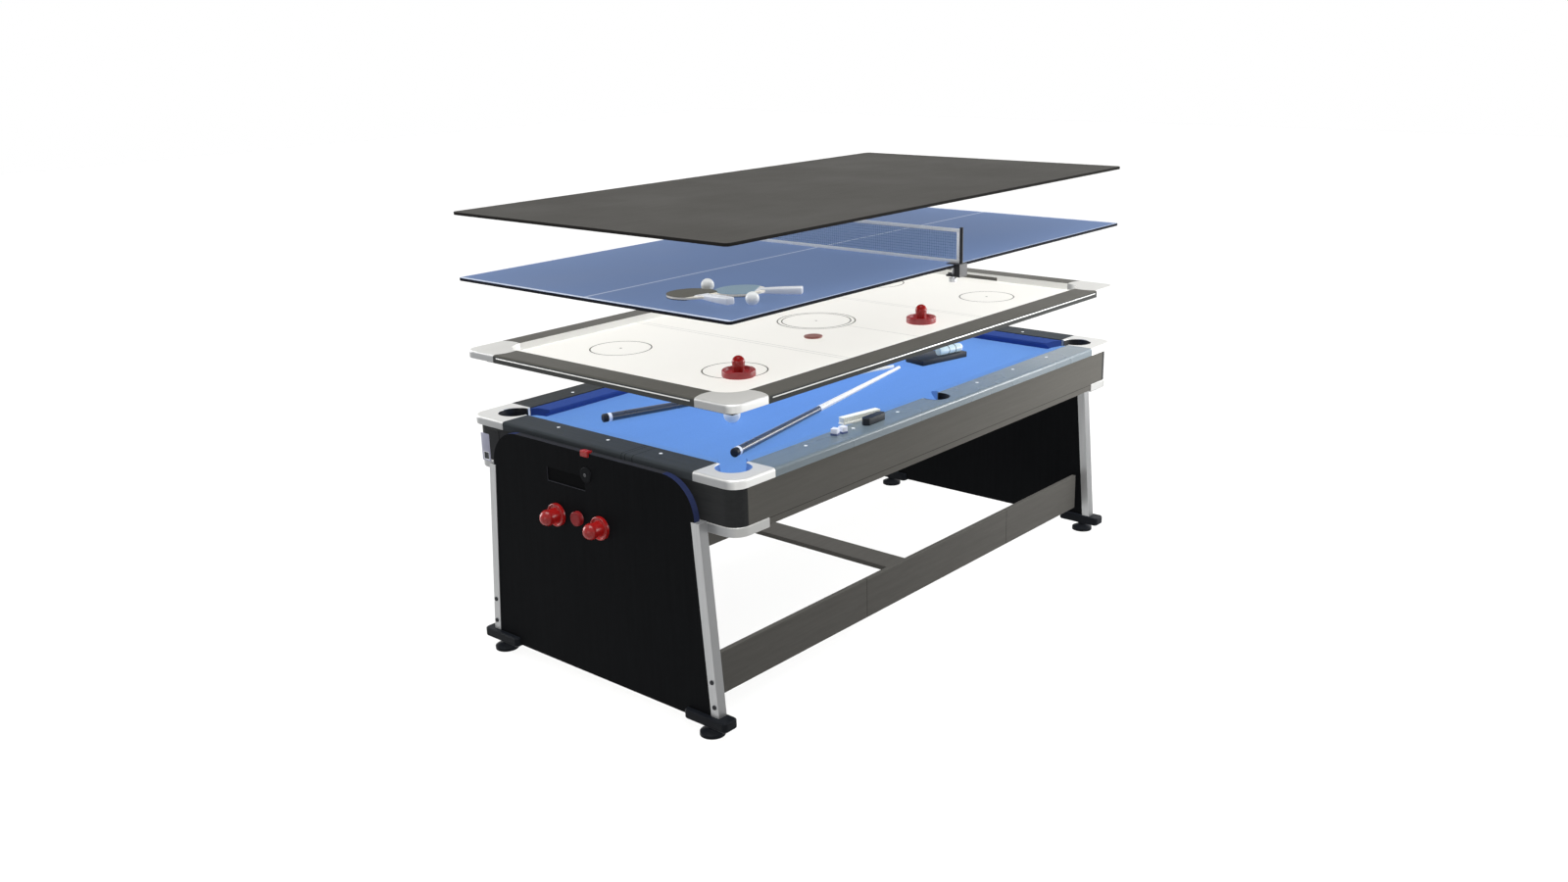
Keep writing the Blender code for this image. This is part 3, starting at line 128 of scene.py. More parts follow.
def surfaceWear(tree, given):
    # Slow mottle, thin scuffs and a fine skin for moulded, painted or laminated faces
    mottle = tree.noise(given["Vector"], given["Scale"], 3.0, 0.5)
    longWay = tree.vector("MULTIPLY", given["Vector"], (1.0, 6.0, 3.0))
    scratch = tree.noise(longWay, tree.times(given["Scale"], 11.0), 2.0, 0.5, 1.6)
    thin = tree.absolute(tree.calc("SUBTRACT", scratch, 0.5))
    scuff = tree.times(tree.remap(thin, 0.0, 0.006, 1.0, 0.0), tree.remap(mottle, 0.52, 0.70))
    skin = tree.noise(given["Vector"], tree.times(given["Scale"], 150.0), 2.0, 0.5)
    return {"Mottle": tree.remap(mottle, 0.3, 0.7), "Scuff": scuff, "Height": skin}


def clothNap(tree, given):
    # Billiard cloth: brushed fibres, a little pilling, and slow shading from the brush
    drawn = tree.vector("MULTIPLY", given["Vector"], (260.0, 900.0, 900.0))
    fibre = tree.noise(drawn, given["Scale"], 2.0, 0.6)
    fuzz = tree.noise(given["Vector"], tree.times(given["Scale"], 420.0), 3.0, 0.7)
    strokes = tree.vector("MULTIPLY", given["Vector"], (1.2, 7.0, 7.0))
    brushed = tree.noise(strokes, given["Scale"], 3.0, 0.5)
    mixed = tree.calc("MULTIPLY_ADD", fibre, 0.45, tree.times(fuzz, 0.35))
    mixed = tree.calc("MULTIPLY_ADD", brushed, 0.20, mixed)
    return {"Tone": tree.remap(mixed, 0.38, 0.62), "Height": tree.calc("MULTIPLY_ADD", fibre, 0.6, fuzz)}


def lineMask(tree, value, place, width):
    # 1 within half the width of a place
    away = tree.absolute(tree.calc("SUBTRACT", value, place))
    return {"Mask": tree.calc("LESS_THAN", away, tree.times(width, 0.5))}


def ringMask(tree, given):
    # A circle's line seen from above
    moved = tree.vector("SUBTRACT", given["Vector"], given["Centre"])
    away = tree.vector("LENGTH", tree.vector("MULTIPLY", moved, (1.0, 1.0, 0.0)))
    return lineMask(tree, away, given["Radius"], given["Width"])


def stripeMask(tree, given):
    return lineMask(tree, given["Value"], given["Place"], given["Width"])


def edgeWear(tree, given):
    # 1 where a rounded-over normal leaves the flat one: paint thins on edges and corners
    soft = tree.add("Bevel", {"Radius": given["Radius"]}, samples=4)["Normal"]
    alike = tree.vector("DOT_PRODUCT", soft, tree.add("NewGeometry")["Normal"])
    return {"Mask": tree.calc("MULTIPLY", tree.opposite(alike), given["Gain"], clamp=True)}


def newGroup(name, build, inputs):
    nodeTree = bpy.data.node_groups.new(name, "ShaderNodeTree")
    for title, start in inputs.items():
        kind = "NodeSocketVector" if isinstance(start, tuple) else "NodeSocketFloat"
        nodeTree.interface.new_socket(title, in_out="INPUT", socket_type=kind).default_value = start
    tree = Tree(nodeTree)
    results = build(tree, nodeTree.nodes.new("NodeGroupInput").outputs)
    for title in results:
        nodeTree.interface.new_socket(title, in_out="OUTPUT", socket_type="NodeSocketFloat")
    leave = nodeTree.nodes.new("NodeGroupOutput")
    for title, value in results.items():
        tree.feed(leave.inputs[title], value)
    return nodeTree


# Each shared effect with what its inputs start at
origin = (0.0, 0.0, 0.0)
effects = {
    "boardGrain": (boardGrain, {"Vector": origin, "Stretch": (1.0, 14.0, 14.0), "Scale": 6.0}),
    "surfaceWear": (surfaceWear, {"Vector": origin, "Scale": 4.0}),
    "clothNap": (clothNap, {"Vector": origin, "Scale": 1.0}),
    "ringMask": (ringMask, {"Vector": origin, "Centre": origin, "Radius": 0.1, "Width": 0.003}),
    "stripeMask": (stripeMask, {"Value": 0.0, "Place": 0.0, "Width": 0.003}),
    "edgeWear": (edgeWear, {"Radius": 0.002, "Gain": 4.0}),
}
groups = {name: newGroup(name, *effect) for name, effect in effects.items()}
print("shared effects ready")


finishes = {}    # every material by its name


def shade(colour, factor):
    return tuple(channel * factor for channel in colour)


class Finish(Tree):
    # One material in the making: its Principled sockets and its object coordinates
    def __init__(self, name, roughness=0.5, metallic=0.0, specular=0.5):
        material = bpy.data.materials.new(name)
        material.use_nodes = True
        super().__init__(material.node_tree)
        self.shader = self.nodeTree.nodes["Principled BSDF"].inputs
        self.place = self.add("TexCoord")["Object"]
        self.assign({"Roughness": roughness, "Metallic": metallic, "Specular IOR Level": specular})
        finishes[name] = material

    def assign(self, values):
        for title, value in values.items():
            self.feed(self.shader[title], value)

    def use(self, name, **values):
        # A shared effect; one that reads a place gets the object coordinates unless told otherwise
        if "Vector" in effects[name][1]:
            values = {"Vector": self.place, **values}
        return self.add("Group", values, node_tree=groups[name])

    def ring(self, place, centre, radius, width):
        return self.use("ringMask", Vector=place, Centre=centre, Radius=radius, Width=width)["Mask"]

    def stripe(self, value, place, width):
        return self.use("stripeMask", Value=value, Place=place, Width=width)["Mask"]

    def axes(self):
        return self.add("SeparateXYZ", (self.place,))

    def folded(self):
        # Object coordinates with the table's four quarters laid on each other
        axes = self.axes()
        return self.add("CombineXYZ", (self.absolute(axes["X"]), self.absolute(axes["Y"])))[0]

    def inside(self, low, high):
        # 1 where the object coordinates lie between two corners; None leaves a side open
        axes = self.axes()
        mask = 1.0
        for axis, start, end in zip("XYZ", low, high):
            for operation, limit in (("GREATER_THAN", start), ("LESS_THAN", end)):
                if limit is not None:
                    mask = self.times(mask, self.calc(operation, axes[axis], limit))
        return mask

    def facing(self, axis):
        # The normal's share along one axis
        return self.add("SeparateXYZ", (self.add("NewGeometry")["Normal"],))[axis]

    def edgeBand(self, axis):
        # 1 on a board's narrow sides, whose flat faces look along the axis
        return self.remap(self.absolute(self.facing(axis)), 0.55, 0.85, 1.0, 0.0)

    def toned(self, mask, colour, spread):
        # A colour that wanders a little darker and paler
        return self.mix(mask, shade(colour, 1.0 - spread), shade(colour, 1.0 + spread))

    def tint(self, base, mask, share, colour):
        # A share of another colour over the base
        return self.mix(self.times(mask, share), base, colour)

    def colour(self, value):
        self.tone = value
        self.assign({"Base Color": value})

    def rough(self, mask, low, high):
        self.assign({"Roughness": self.remap(mask, 0.0, 1.0, low, high)})

    def bump(self, height, strength, distance):
        values = {"Strength": strength, "Distance": distance, "Height": height}
        self.assign({"Normal": self.add("Bump", values)["Normal"]})


# Laminated and painted boards: linear colour, its spread, roughness from and to, specular level,
# and how far the grain is drawn together along each axis
alongX, alongY, alongZ = (1.0, 16.0, 16.0), (16.0, 1.0, 16.0), (16.0, 16.0, 1.0)
boardLooks = {
    "diningBoard": ((0.058, 0.0560, 0.0515), 0.08, (0.50, 0.62), 0.01, alongX),
    "charcoalBoard": ((0.082, 0.079, 0.073), 0.08, (0.40, 0.52), 0.02, alongX),
    "apronBoard": ((0.105, 0.101, 0.092), 0.06, (0.40, 0.52), 0.02, alongX),
    # A darker copy of the apron board for the end aprons and bottom board: painted shade on the faces
    # towards the ends
    "shadedCornerBoard": ((0.030, 0.031, 0.032), 0.10, (0.36, 0.46), 0.03, alongY),
    "blackBoard": ((0.0062, 0.0066, 0.0074), 0.16, (0.42, 0.55), 0.01, alongZ),
    # The three rail boards are lit and shaded copies of one laminate: the front rail's paler copy is painted
    # light, the rear rail's darker copy is painted shade, and the end rails' copy lies between
    "litFrontRailBoard": ((0.130, 0.168, 0.195), 0.06, (0.24, 0.32), 0.50, alongX),
    "shadedRearRailBoard": ((0.040, 0.043, 0.044), 0.10, (0.34, 0.44), 0.005, alongX),
    "endRailBoard": ((0.044, 0.050, 0.055), 0.10, (0.34, 0.44), 0.005, alongY),
}
diningEdge = (0.020, 0.019, 0.018)

# Dark hairlines where two boards meet: axis, places along it and width
apronFoot = 0.021    # the apron's lowest board
boardJoints = {
    "charcoalBoard": ("X", (-0.305, 0.570), 0.0024),
    "apronBoard": ("Z", (apronLow + apronFoot,), 0.0018),
    "endRailBoard": ("Y", (-0.182, -0.150, -0.135), 0.0022),
}


def makeBoard(name):
    colour, spread, rough, specular, stretch = boardLooks[name]
    made = Finish(name, specular=specular)
    grain = made.use("boardGrain", Stretch=stretch, Scale=5.0)
    wear = made.use("surfaceWear", Scale=3.0)
    tone = made.toned(grain["Tone"], colour, spread)
    tone = made.tint(tone, wear["Scuff"], 0.15, shade(colour, 1.8))
    axis, spots, width = boardJoints.get(name, ("X", (), 0.0))
    for spot in spots:
        tone = made.mix(made.stripe(made.axes()[axis], spot, width), tone, shade(colour, 0.25))
    made.colour(tone)
    made.rough(wear["Mottle"], *rough)
    made.bump(made.calc("ADD", grain["Height"], wear["Height"]), 0.18, 0.0006)
    return made


def makeDiningBoard():
    # Its narrow sides carry a darker edge band
    made = makeBoard("diningBoard")
    made.colour(made.mix(made.edgeBand("Z"), made.tone, diningEdge))


# Round top corners start this far from the middle and from the panel's top, where the edge band is a painted
# dark blue highlight; the recess is milled into the near panel's outer face, from its low corner to its high
# one
panelLook = {"roundFrom": 0.337, "roundRadius": 0.125, "band": (0.022, 0.030, 0.080),
             "plainBand": (0.030, 0.031, 0.036), "recess": ((0.010, 0.671), (0.190, 0.717)),
             "recessDepth": 0.002, "recessTone": 0.45}


def makePanel():
    # End panel: black board, its edge banded, with a painted dark blue highlight on the edge round the two
    # top corners
    look = panelLook
    made = makeBoard("blackBoard")
    axes = made.axes()
    outwards = made.calc("GREATER_THAN", made.absolute(axes["Y"]), look["roundFrom"])
    upwards = made.calc("GREATER_THAN", axes["Z"], panelTop - look["roundRadius"])
    # Painted highlight: the edge turns dark blue round the two top corners
    band = made.mix(made.times(outwards, upwards), look["plainBand"], look["band"])
    (lowY, lowZ), (highY, highZ) = look["recess"]
    milled = made.inside((panelFace + look["recessDepth"], lowY, lowZ), (0.0, highY, highZ))
    board = made.mix(milled, made.tone, shade(boardLooks["blackBoard"][0], look["recessTone"]))
    made.colour(made.mix(made.edgeBand("X"), board, band))


# The rear and far cushions take a darker copy of the cushion cloth: painted shade
clothColours = {"tableCloth": (0.122, 0.254, 0.540), "cushionCloth": (0.118, 0.242, 0.510),
                "shadedCushionCloth": (0.036, 0.068, 0.235)}


def makeCloth(name):
    made = Finish(name, roughness=0.92, specular=0.0)
    nap = made.use("clothNap")
    made.colour(made.toned(nap["Tone"], clothColours[name], 0.07))
    made.bump(nap["Height"], 0.35, 0.0008)
    made.assign({"Sheen Weight": 0.03, "Sheen Roughness": 0.4, "Sheen Tint": (0.55, 0.68, 1.0, 1.0)})


# Silver sprayed plastic of the corner castings and caps. Its colour is painted light and shade by the way
# each face looks: greyer on top, paler on the sides and darkest on the faces towards the ends, and the side
# shades darken the caps' sides further as painted shade. The pockets are black inside, but the cloth is
# folded down into the one at the near front corner.
silverLook = {"sideShades": {"castingSilver": 1.0, "shadedCapSilver": 0.58},
              "top": (0.57, 0.565, 0.540), "side": (0.68, 0.68, 0.665), "end": (0.30, 0.305, 0.310),
              "worn": (0.40, 0.40, 0.40), "topMetal": 0.15, "sideMetal": 0.75,
              "inside": (0.010, 0.011, 0.014), "pocket": (0.985, 0.500, 0.0), "pocketRadius": 0.0562,
              "pocketLow": 0.680, "pocketHigh": 0.8125}


def makeSilver(name):
    look = silverLook
    made = Finish(name, specular=0.3)
    wear = made.use("surfaceWear", Scale=6.0)
    # Painted light and shade: the colour follows the way each face looks, paler on the sides, greyer on top
    # and darkest towards the ends
    upward = made.remap(made.facing("Z"), 0.90, 0.99)
    endways = made.remap(made.absolute(made.facing("X")), 0.70, 0.98)
    base = made.mix(endways, shade(look["side"], look["sideShades"][name]), look["end"])
    base = made.mix(upward, base, look["top"])
    base = made.tint(base, wear["Mottle"], 0.08, look["worn"])
    base = made.tint(base, wear["Scuff"], 0.2, look["worn"])
    cup = made.ring(made.folded(), look["pocket"], 0.0, 2 * look["pocketRadius"])
    lined = made.times(cup, made.inside((None, None, look["pocketLow"]), (None, None, look["pocketHigh"])))
    nearFront = made.inside((None, None), (0.0, 0.0))
    lining = made.mix(nearFront, look["inside"], clothColours["tableCloth"])
    made.colour(made.mix(lined, base, lining))
    metal = made.remap(upward, 0.0, 1.0, look["sideMetal"], look["topMetal"])
    made.assign({"Metallic": made.times(metal, made.opposite(lined))})
    made.rough(wear["Mottle"], 0.34, 0.44)
    made.bump(wear["Height"], 0.06, 0.0003)


# Anodised aluminium drawn along its length: dark and pale line, and the painted light and shade on the faces
# that look across the table, darker on the trims and paler on the strip
brushedLooks = {
    "brushedAluminium": ((0.35, 0.355, 0.36), (0.43, 0.435, 0.44), 0.62),
    "brightStrip": ((0.62, 0.62, 0.61), (0.76, 0.76, 0.75), 1.10),
}


def makeBrushed(name):
    dark, pale, paintedSideShading = brushedLooks[name]
    made = Finish(name, metallic=0.80)
    line = made.noise(made.vector("MULTIPLY", made.place, (900.0, 900.0, 6.0)), 1.0, 3.0, 0.6)
    wear = made.use("surfaceWear", Scale=5.0)
    base = made.mix(made.remap(line, 0.35, 0.65), dark, pale)
    # Painted shade on the trims' faces across the table, painted light on the strip's
    across = made.remap(made.absolute(made.facing("Y")), 0.6, 0.9)
    base = made.mix(across, base, shade(dark, paintedSideShading))
    made.colour(made.tint(base, wear["Scuff"], 0.4, shade(dark, 0.6)))
    made.assign({"Roughness": made.remap(line, 0.3, 0.7, 0.34, 0.48)})
    made.bump(line, 0.08, 0.0002)


# Moulded, painted and rubber finishes: linear colour, lift of its paler tone, roughness from and
# to, grit of the skin, and specular level
plasticLooks = {
    "blackMoulding": ((0.012, 0.013, 0.016), 1.5, (0.34, 0.46), 0.25, 0.2),
    "footMoulding": ((0.0055, 0.0065, 0.0085), 1.4, (0.32, 0.42), 0.25, 0.05),
    "redPlastic": ((0.260, 0.006, 0.006), 1.2, (0.22, 0.28), 0.02, 0.35),
    "fieldRed": ((0.255, 0.022, 0.026), 1.15, (0.26, 0.34), 0.03, 0.5),
    "puckPlastic": ((0.210, 0.075, 0.060), 1.2, (0.28, 0.36), 0.06, 0.5),
    "puckRed": ((0.170, 0.004, 0.006), 1.2, (0.40, 0.50), 0.06, 0.2),
    "ivoryBall": ((0.84, 0.83, 0.78), 1.05, (0.10, 0.16), 0.02, 0.5),
    "paleBall": ((0.78, 0.80, 0.80), 1.05, (0.38, 0.46), 0.05, 0.5),
    "whiteLacquer": ((0.74, 0.76, 0.80), 1.06, (0.20, 0.28), 0.03, 0.5),
    "blackLacquer": ((0.006, 0.007, 0.010), 1.8, (0.26, 0.32), 0.02, 1.0),
    "darkRubber": ((0.105, 0.103, 0.088), 1.1, (0.60, 0.70), 0.40, 0.1),
    "blueRubber": ((0.210, 0.295, 0.360), 1.08, (0.42, 0.52), 0.30, 0.15),
    "zincSteel": ((0.52, 0.53, 0.55), 1.15, (0.28, 0.40), 0.08, 0.5),
    "whiteSight": ((0.90, 0.92, 0.92), 1.05, (0.20, 0.26), 0.02, 0.5),
    "chalkBlock": ((0.70, 0.73, 0.83), 1.10, (0.85, 0.95), 0.60, 0.1),
    "chalkFootBand": ((0.060, 0.085, 0.200), 1.2, (0.55, 0.65), 0.20, 0.5),
    "bristle": ((0.70, 0.71, 0.66), 1.12, (0.55, 0.70), 0.30, 0.2),
    "leatherTip": ((0.10, 0.14, 0.24), 1.4, (0.80, 0.90), 0.60, 0.5),
    "pocketLining": ((0.008, 0.009, 0.011), 1.5, (0.50, 0.62), 0.35, 0.1),
    "inletPlate": ((0.330, 0.335, 0.430), 1.08, (0.40, 0.50), 0.10, 0.2),
    "bearingCap": ((0.0075, 0.0080, 0.0090), 1.2, (0.45, 0.55), 0.20, 0.02),
    "tubePlastic": ((0.50, 0.60, 0.58), 1.08, (0.30, 0.38), 0.05, 0.5),
    "caseBlack": ((0.010, 0.013, 0.017), 1.5, (0.40, 0.50), 0.20, 0.2),
    "greyScrew": ((0.055, 0.057, 0.060), 1.15, (0.30, 0.40), 0.10, 0.2),
}
plasticExtras = {"blackLacquer": {"Coat Weight": 1.0, "Coat Roughness": 0.26},
                 "zincSteel": {"Metallic": 0.85}}


def makePlastic(name):
    colour, lift, rough, grit, specular = plasticLooks[name]
    made = Finish(name, specular=specular)
    wear = made.use("surfaceWear", Scale=9.0)
    edge = made.use("edgeWear", Radius=0.0012)
    tone = made.mix(wear["Mottle"], colour, shade(colour, lift))
    made.colour(made.tint(tone, edge["Mask"], 0.25, shade(colour, 1.6)))
    made.rough(wear["Mottle"], *rough)
    made.bump(wear["Height"], grit, 0.0004)
    made.assign(plasticExtras.get(name, {}))


# Lines printed on the white playing sheet of the hockey tray
fieldMarks = {
    "lineWidth": 0.0045, "circle": (0.71, 0.26, 0.0), "circleRadius": 0.103,
    "centreRadii": (0.124, 0.140), "dotWidth": 0.009, "crossLines": (0.0, 0.375, 0.395),
    "crossWidth": 0.0035, "lineColour": (0.060, 0.055, 0.040), "paleLine": (0.60, 0.60, 0.57),
    "white": (0.92, 0.905, 0.855),
}


def makeField():
    marks = fieldMarks
    made = Finish("fieldSheet", specular=0.05)
    wear = made.use("surfaceWear", Scale=3.0)
    folded = made.folded()
    along = made.absolute(made.axes()["X"])
    rings = [(marks["circle"], marks["circleRadius"], marks["lineWidth"])]
    rings += [(centre, 0.0, marks["dotWidth"]) for centre in (marks["circle"], origin)]
    rings += [(origin, radius, marks["lineWidth"]) for radius in marks["centreRadii"]]
    dark = 0.0
    for centre, radius, width in rings:
        dark = made.calc("MAXIMUM", dark, made.ring(folded, centre, radius, width))
    pale = 0.0
    for place in marks["crossLines"]:
        pale = made.calc("MAXIMUM", pale, made.stripe(along, place, marks["crossWidth"]))
    # The pale line across the middle stops at the centre circle
    disc = made.ring(folded, origin, 0.0, 2 * marks["centreRadii"][1])
    pale = made.times(pale, made.opposite(disc))
    base = made.mix(wear["Mottle"], marks["white"], shade(marks["white"], 1.02))
    base = made.tint(base, wear["Scuff"], 0.03, marks["paleLine"])
    base = made.mix(pale, base, marks["paleLine"])
    made.colour(made.mix(dark, base, marks["lineColour"]))
    made.rough(wear["Mottle"], 0.30, 0.40)
    made.bump(wear["Height"], 0.02, 0.0003)


trayLook = {"top": (0.100, 0.097, 0.086), "side": (0.060, 0.063, 0.062), "wall": (0.80, 0.80, 0.78),
            "wallWithin": 0.0012}    # the walls stand this close to the playing sheet


def makeTrayFrame():
    # Brown grey rail tops, darker outer faces and pale walls round the playing sheet
    look = trayLook
    made = Finish("trayFrame", specular=0.02)
    grain = made.use("boardGrain", Scale=5.0)
    wear = made.use("surfaceWear", Scale=3.0)
    halfX, halfY = fieldCorner.x + look["wallWithin"], fieldCorner.y + look["wallWithin"]
    inside = made.inside((-halfX, -halfY), (halfX, halfY))
    tone = made.mix(made.remap(made.facing("Z"), 0.35, 0.75), look["side"], look["top"])
    tone = made.tint(tone, grain["Tone"], 0.20, shade(look["top"], 0.75))
    made.colour(made.mix(inside, tone, look["wall"]))
    made.rough(wear["Mottle"], 0.32, 0.44)
    made.bump(grain["Height"], 0.16, 0.0005)


tennisMarks = {"board": (0.138, 0.200, 0.352), "white": (0.58, 0.63, 0.74), "band": (0.012, 0.013, 0.018),
               "centreWidth": 0.0100, "endWidth": 0.0120, "sideWidth": 0.0040, "borderInset": 0.0020}


def makeTennisTop():
    marks = tennisMarks
    made = Finish("tennisBoard", specular=0.02)
    wear = made.use("surfaceWear", Scale=2.5)
    axes = made.axes()
    # The middle line is half as strong as the border
    line = made.times(made.stripe(axes["Y"], 0.0, marks["centreWidth"]), 0.5)
    for axis, half, width in (("X", tennisCorner.x, marks["endWidth"]),
                              ("Y", tennisCorner.y, marks["sideWidth"])):
        place = half - marks["borderInset"] - width / 2
        line = made.calc("MAXIMUM", line, made.stripe(made.absolute(axes[axis]), place, width))
    base = made.toned(wear["Mottle"], marks["board"], 0.04)
    base = made.tint(base, wear["Scuff"], 0.08, marks["white"])
    base = made.mix(line, base, marks["white"])
    made.colour(made.mix(made.remap(made.facing("Z"), 0.55, 0.80), marks["band"], base))
    made.rough(wear["Mottle"], 0.48, 0.60)
    made.bump(wear["Height"], 0.06, 0.0004)


def makeCueWood():
    # Pale maple with long fine grain
    made = Finish("cueMaple")
    grain = made.use("boardGrain", Stretch=(2.0, 22.0, 22.0), Scale=14.0)
    made.colour(made.mix(grain["Tone"], (0.70, 0.64, 0.52), (0.86, 0.83, 0.76)))
    made.rough(grain["Tone"], 0.24, 0.34)
    made.bump(grain["Height"], 0.06, 0.0003)


# Woven thread of the net and its bands: dark and pale strand, and how fine it is
threadLooks = {
    "netThread": ((0.085, 0.145, 0.240), (0.130, 0.205, 0.320), 900.0),
    "netBand": ((0.78, 0.80, 0.82), (0.90, 0.91, 0.92), 700.0),
}


def makeThread(name):
    dark, pale, scale = threadLooks[name]
    made = Finish(name, roughness=0.8, specular=0.2)
    twist = made.noise(made.vector("MULTIPLY", made.place, (scale, scale, scale * 0.4)), 1.0, 2.0, 0.6)
    made.colour(made.mix(made.remap(twist, 0.35, 0.65), dark, pale))
    made.bump(twist, 0.3, 0.0003)


makePanel()
makeDiningBoard()
makeField()
makeTrayFrame()
makeTennisTop()
makeCueWood()
for makeFinish, looks in ((makeBoard, boardLooks), (makeCloth, clothColours), (makePlastic, plasticLooks),
                          (makeSilver, silverLook["sideShades"]), (makeBrushed, brushedLooks),
                          (makeThread, threadLooks)):
    for finishName in looks:
        if finishName not in finishes:
            makeFinish(finishName)
print("finishes ready:", len(finishes))


# Width and steps of the rounded edges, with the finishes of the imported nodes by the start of
# their names, where the first that fits counts
nodeFinishes = [
    (0.0012, 2, {"end_panel": "blackBoard", "foot": "footMoulding"}),
    (0.0012, 3, {"tennis_top": "tennisBoard", "dining_top": "diningBoard"}),
    # The rear and far cushions take the cushion cloth darkened as painted shade
    (0.0016, 3, {"cushion_rear": "shadedCushionCloth", "cushion_far": "shadedCushionCloth",
                 "cushion": "cushionCloth"}),
    (0.0010, 2, {"pool_bed": "tableCloth", "hockey_corner": "castingSilver"}),
    (0.0008, 2, {"leg_trim": "brushedAluminium", "leveler": "footMoulding", "stretcher": "charcoalBoard",
                 "cross_board": "charcoalBoard", "pivot_bearing": "bearingCap", "latch": "redPlastic",
                 # The end aprons and bottom board take the apron board's darker copy, painted shade
                 "side_apron": "apronBoard", "end_apron": "shadedCornerBoard", "bottom_board": "shadedCornerBoard",
                 # The rails take lit and shaded copies of one laminate: painted light on the front, painted
                 # shade on the rear
                 "rail_front": "litFrontRailBoard", "rail_rear": "shadedRearRailBoard", "rail_near": "endRailBoard",
                 "rail_far": "endRailBoard", "side_pocket": "pocketLining", "net_post": "blackMoulding"}),
    # The caps take the silver with its sides darkened further as painted shade
    (0.0006, 2, {"corner_pocket": "castingSilver", "bottom_cap": "shadedCapSilver",
                 "hockey_frame": "trayFrame", "clamp_screw": "zincSteel"}),
    (0.0005, 2, {"hockey_field": "fieldSheet"}),
]


def dressNode(obj, finish, width, segments):
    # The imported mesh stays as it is: modifiers join its triangles and round its edges
    weld = obj.modifiers.new("joined", "WELD")
    weld.merge_threshold = mergeDistance
    flat = obj.modifiers.new("flatFaces", "DECIMATE")
    flat.decimate_type = "DISSOLVE"
    flat.angle_limit = math.radians(0.3)
    soft = obj.modifiers.new("roundedEdges", "BEVEL")
    soft.width = width
    soft.segments = segments
    soft.limit_method = "ANGLE"
    soft.angle_limit = math.radians(32)
    even = obj.modifiers.new("evenFaces", "WEIGHTED_NORMAL")
    even.weight = 100
    obj.data.shade_smooth()
    for holder in obj.material_slots:
        holder.material = finishes[finish]


left = set(nodes)
for edgeWidth, edgeSteps, starts in nodeFinishes:
    for start, finish in starts.items():
        for nodeName in sorted(left):
            if nodeName.startswith(start):
                dressNode(nodes[nodeName], finish, edgeWidth, edgeSteps)
                left.discard(nodeName)
print("packed nodes dressed, left plain:", sorted(left))


# Small tools for meshes

def meshFrom(part, name):
    mesh = bpy.data.meshes.new(name)
    part.to_mesh(mesh)
    part.free()
    return mesh


def newObject(name, data):
    obj = bpy.data.objects.new(name, data)
    bpy.context.scene.collection.objects.link(obj)
    return obj


def addPart(whole, part, finishIndex=None, place=None):
    # Moves one finished bmesh into another
    if place is not None:
        bmesh.ops.transform(part, matrix=place, verts=part.verts)
    if finishIndex is not None:
        for face in part.faces:
            face.material_index = finishIndex
    step = meshFrom(part, "step")
    whole.from_mesh(step)
    bpy.data.meshes.remove(step)


def roundEdges(part, edges, radius, segments):
    bmesh.ops.bevel(part, geom=edges, offset=radius, segments=segments, profile=0.5, affect="EDGES",
                    material=-1)


def boxPart(low, high, radius=0.0):
    part = bmesh.new()
    bmesh.ops.create_cube(part, size=1)
    low, high = Vector(low), Vector(high)
    bmesh.ops.scale(part, vec=high - low, verts=part.verts)
    bmesh.ops.translate(part, vec=(low + high) / 2, verts=part.verts)
    if radius:
        roundEdges(part, part.edges[:], radius, 2)
    return part


def blockPart(long, wide, tall, radius=0.0):
    # A box that stands on its place, centred
    return boxPart((-long / 2, -wide / 2, 0), (long / 2, wide / 2, tall), radius)


def cutPart(part, x, outwards, clear=False):
    # A straight cut across X; gives what lies on it
    made = bmesh.ops.bisect_plane(part, geom=part.verts[:] + part.edges[:] + part.faces[:],
                                  plane_co=(x, 0, 0), plane_no=(outwards, 0, 0), clear_outer=clear)
    return made["geom_cut"]


def turnedPart(profile, steps=40, bands=()):
    # A profile of (radius, height) turned about Z; a band (height, index) sets the finish above it
    part = bmesh.new()
    line = [part.verts.new((radius, 0, height)) for radius, height in profile]
    rims = [part.edges.new(pair) for pair in zip(line, line[1:])]
    bmesh.ops.spin(part, geom=line + rims, cent=(0, 0, 0), axis=(0, 0, 1), angle=math.tau,
                   steps=steps, use_merge=True)
    bmesh.ops.remove_doubles(part, verts=part.verts, dist=mergeDistance / 2)
    bmesh.ops.recalc_face_normals(part, faces=part.faces)
    for height, index in bands:
        for face in part.faces:
            if face.calc_center_median().z >= height:
                face.material_index = index
    return part


def roundCorner(centreRadius, centreHeight, radius, start, end, steps=5):
    # Points on a quarter turn of a profile, angles in degrees from the radial direction
    points = []
    for step in range(steps + 1):
        angle = math.radians(start + (end - start) * step / steps)
        points.append((centreRadius + radius * math.cos(angle), centreHeight + radius * math.sin(angle)))
    return points


def roundFoot(radius, edge, steps=3):
    # The flat lower end of a profile and its rounded edge
    return [(0, 0), (radius - edge, 0)] + roundCorner(radius - edge, edge, edge, -90, 0, steps)[1:]


def raisedRing(radius, start, end, proud, slope):
    # A ring that stands out of a profile, with a small slope on each side
    return [(radius, start), (radius + proud, start + slope), (radius + proud, end), (radius, end + slope)]


def newPiece(name, whole, finishNames, body, sharp=35):
    mesh = meshFrom(whole, name)
    mesh.shade_smooth()
    mesh.set_sharp_from_angle(angle=math.radians(sharp))
    for finish in finishNames:
        mesh.materials.append(finishes[finish])
    piece = newObject(name, mesh)
    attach(piece, body)
    return piece


def placePiece(name, part, place, finishNames, body):
    # A piece that is a single part
    bmesh.ops.transform(part, matrix=place, verts=part.verts)
    newPiece(name, part, finishNames, body)


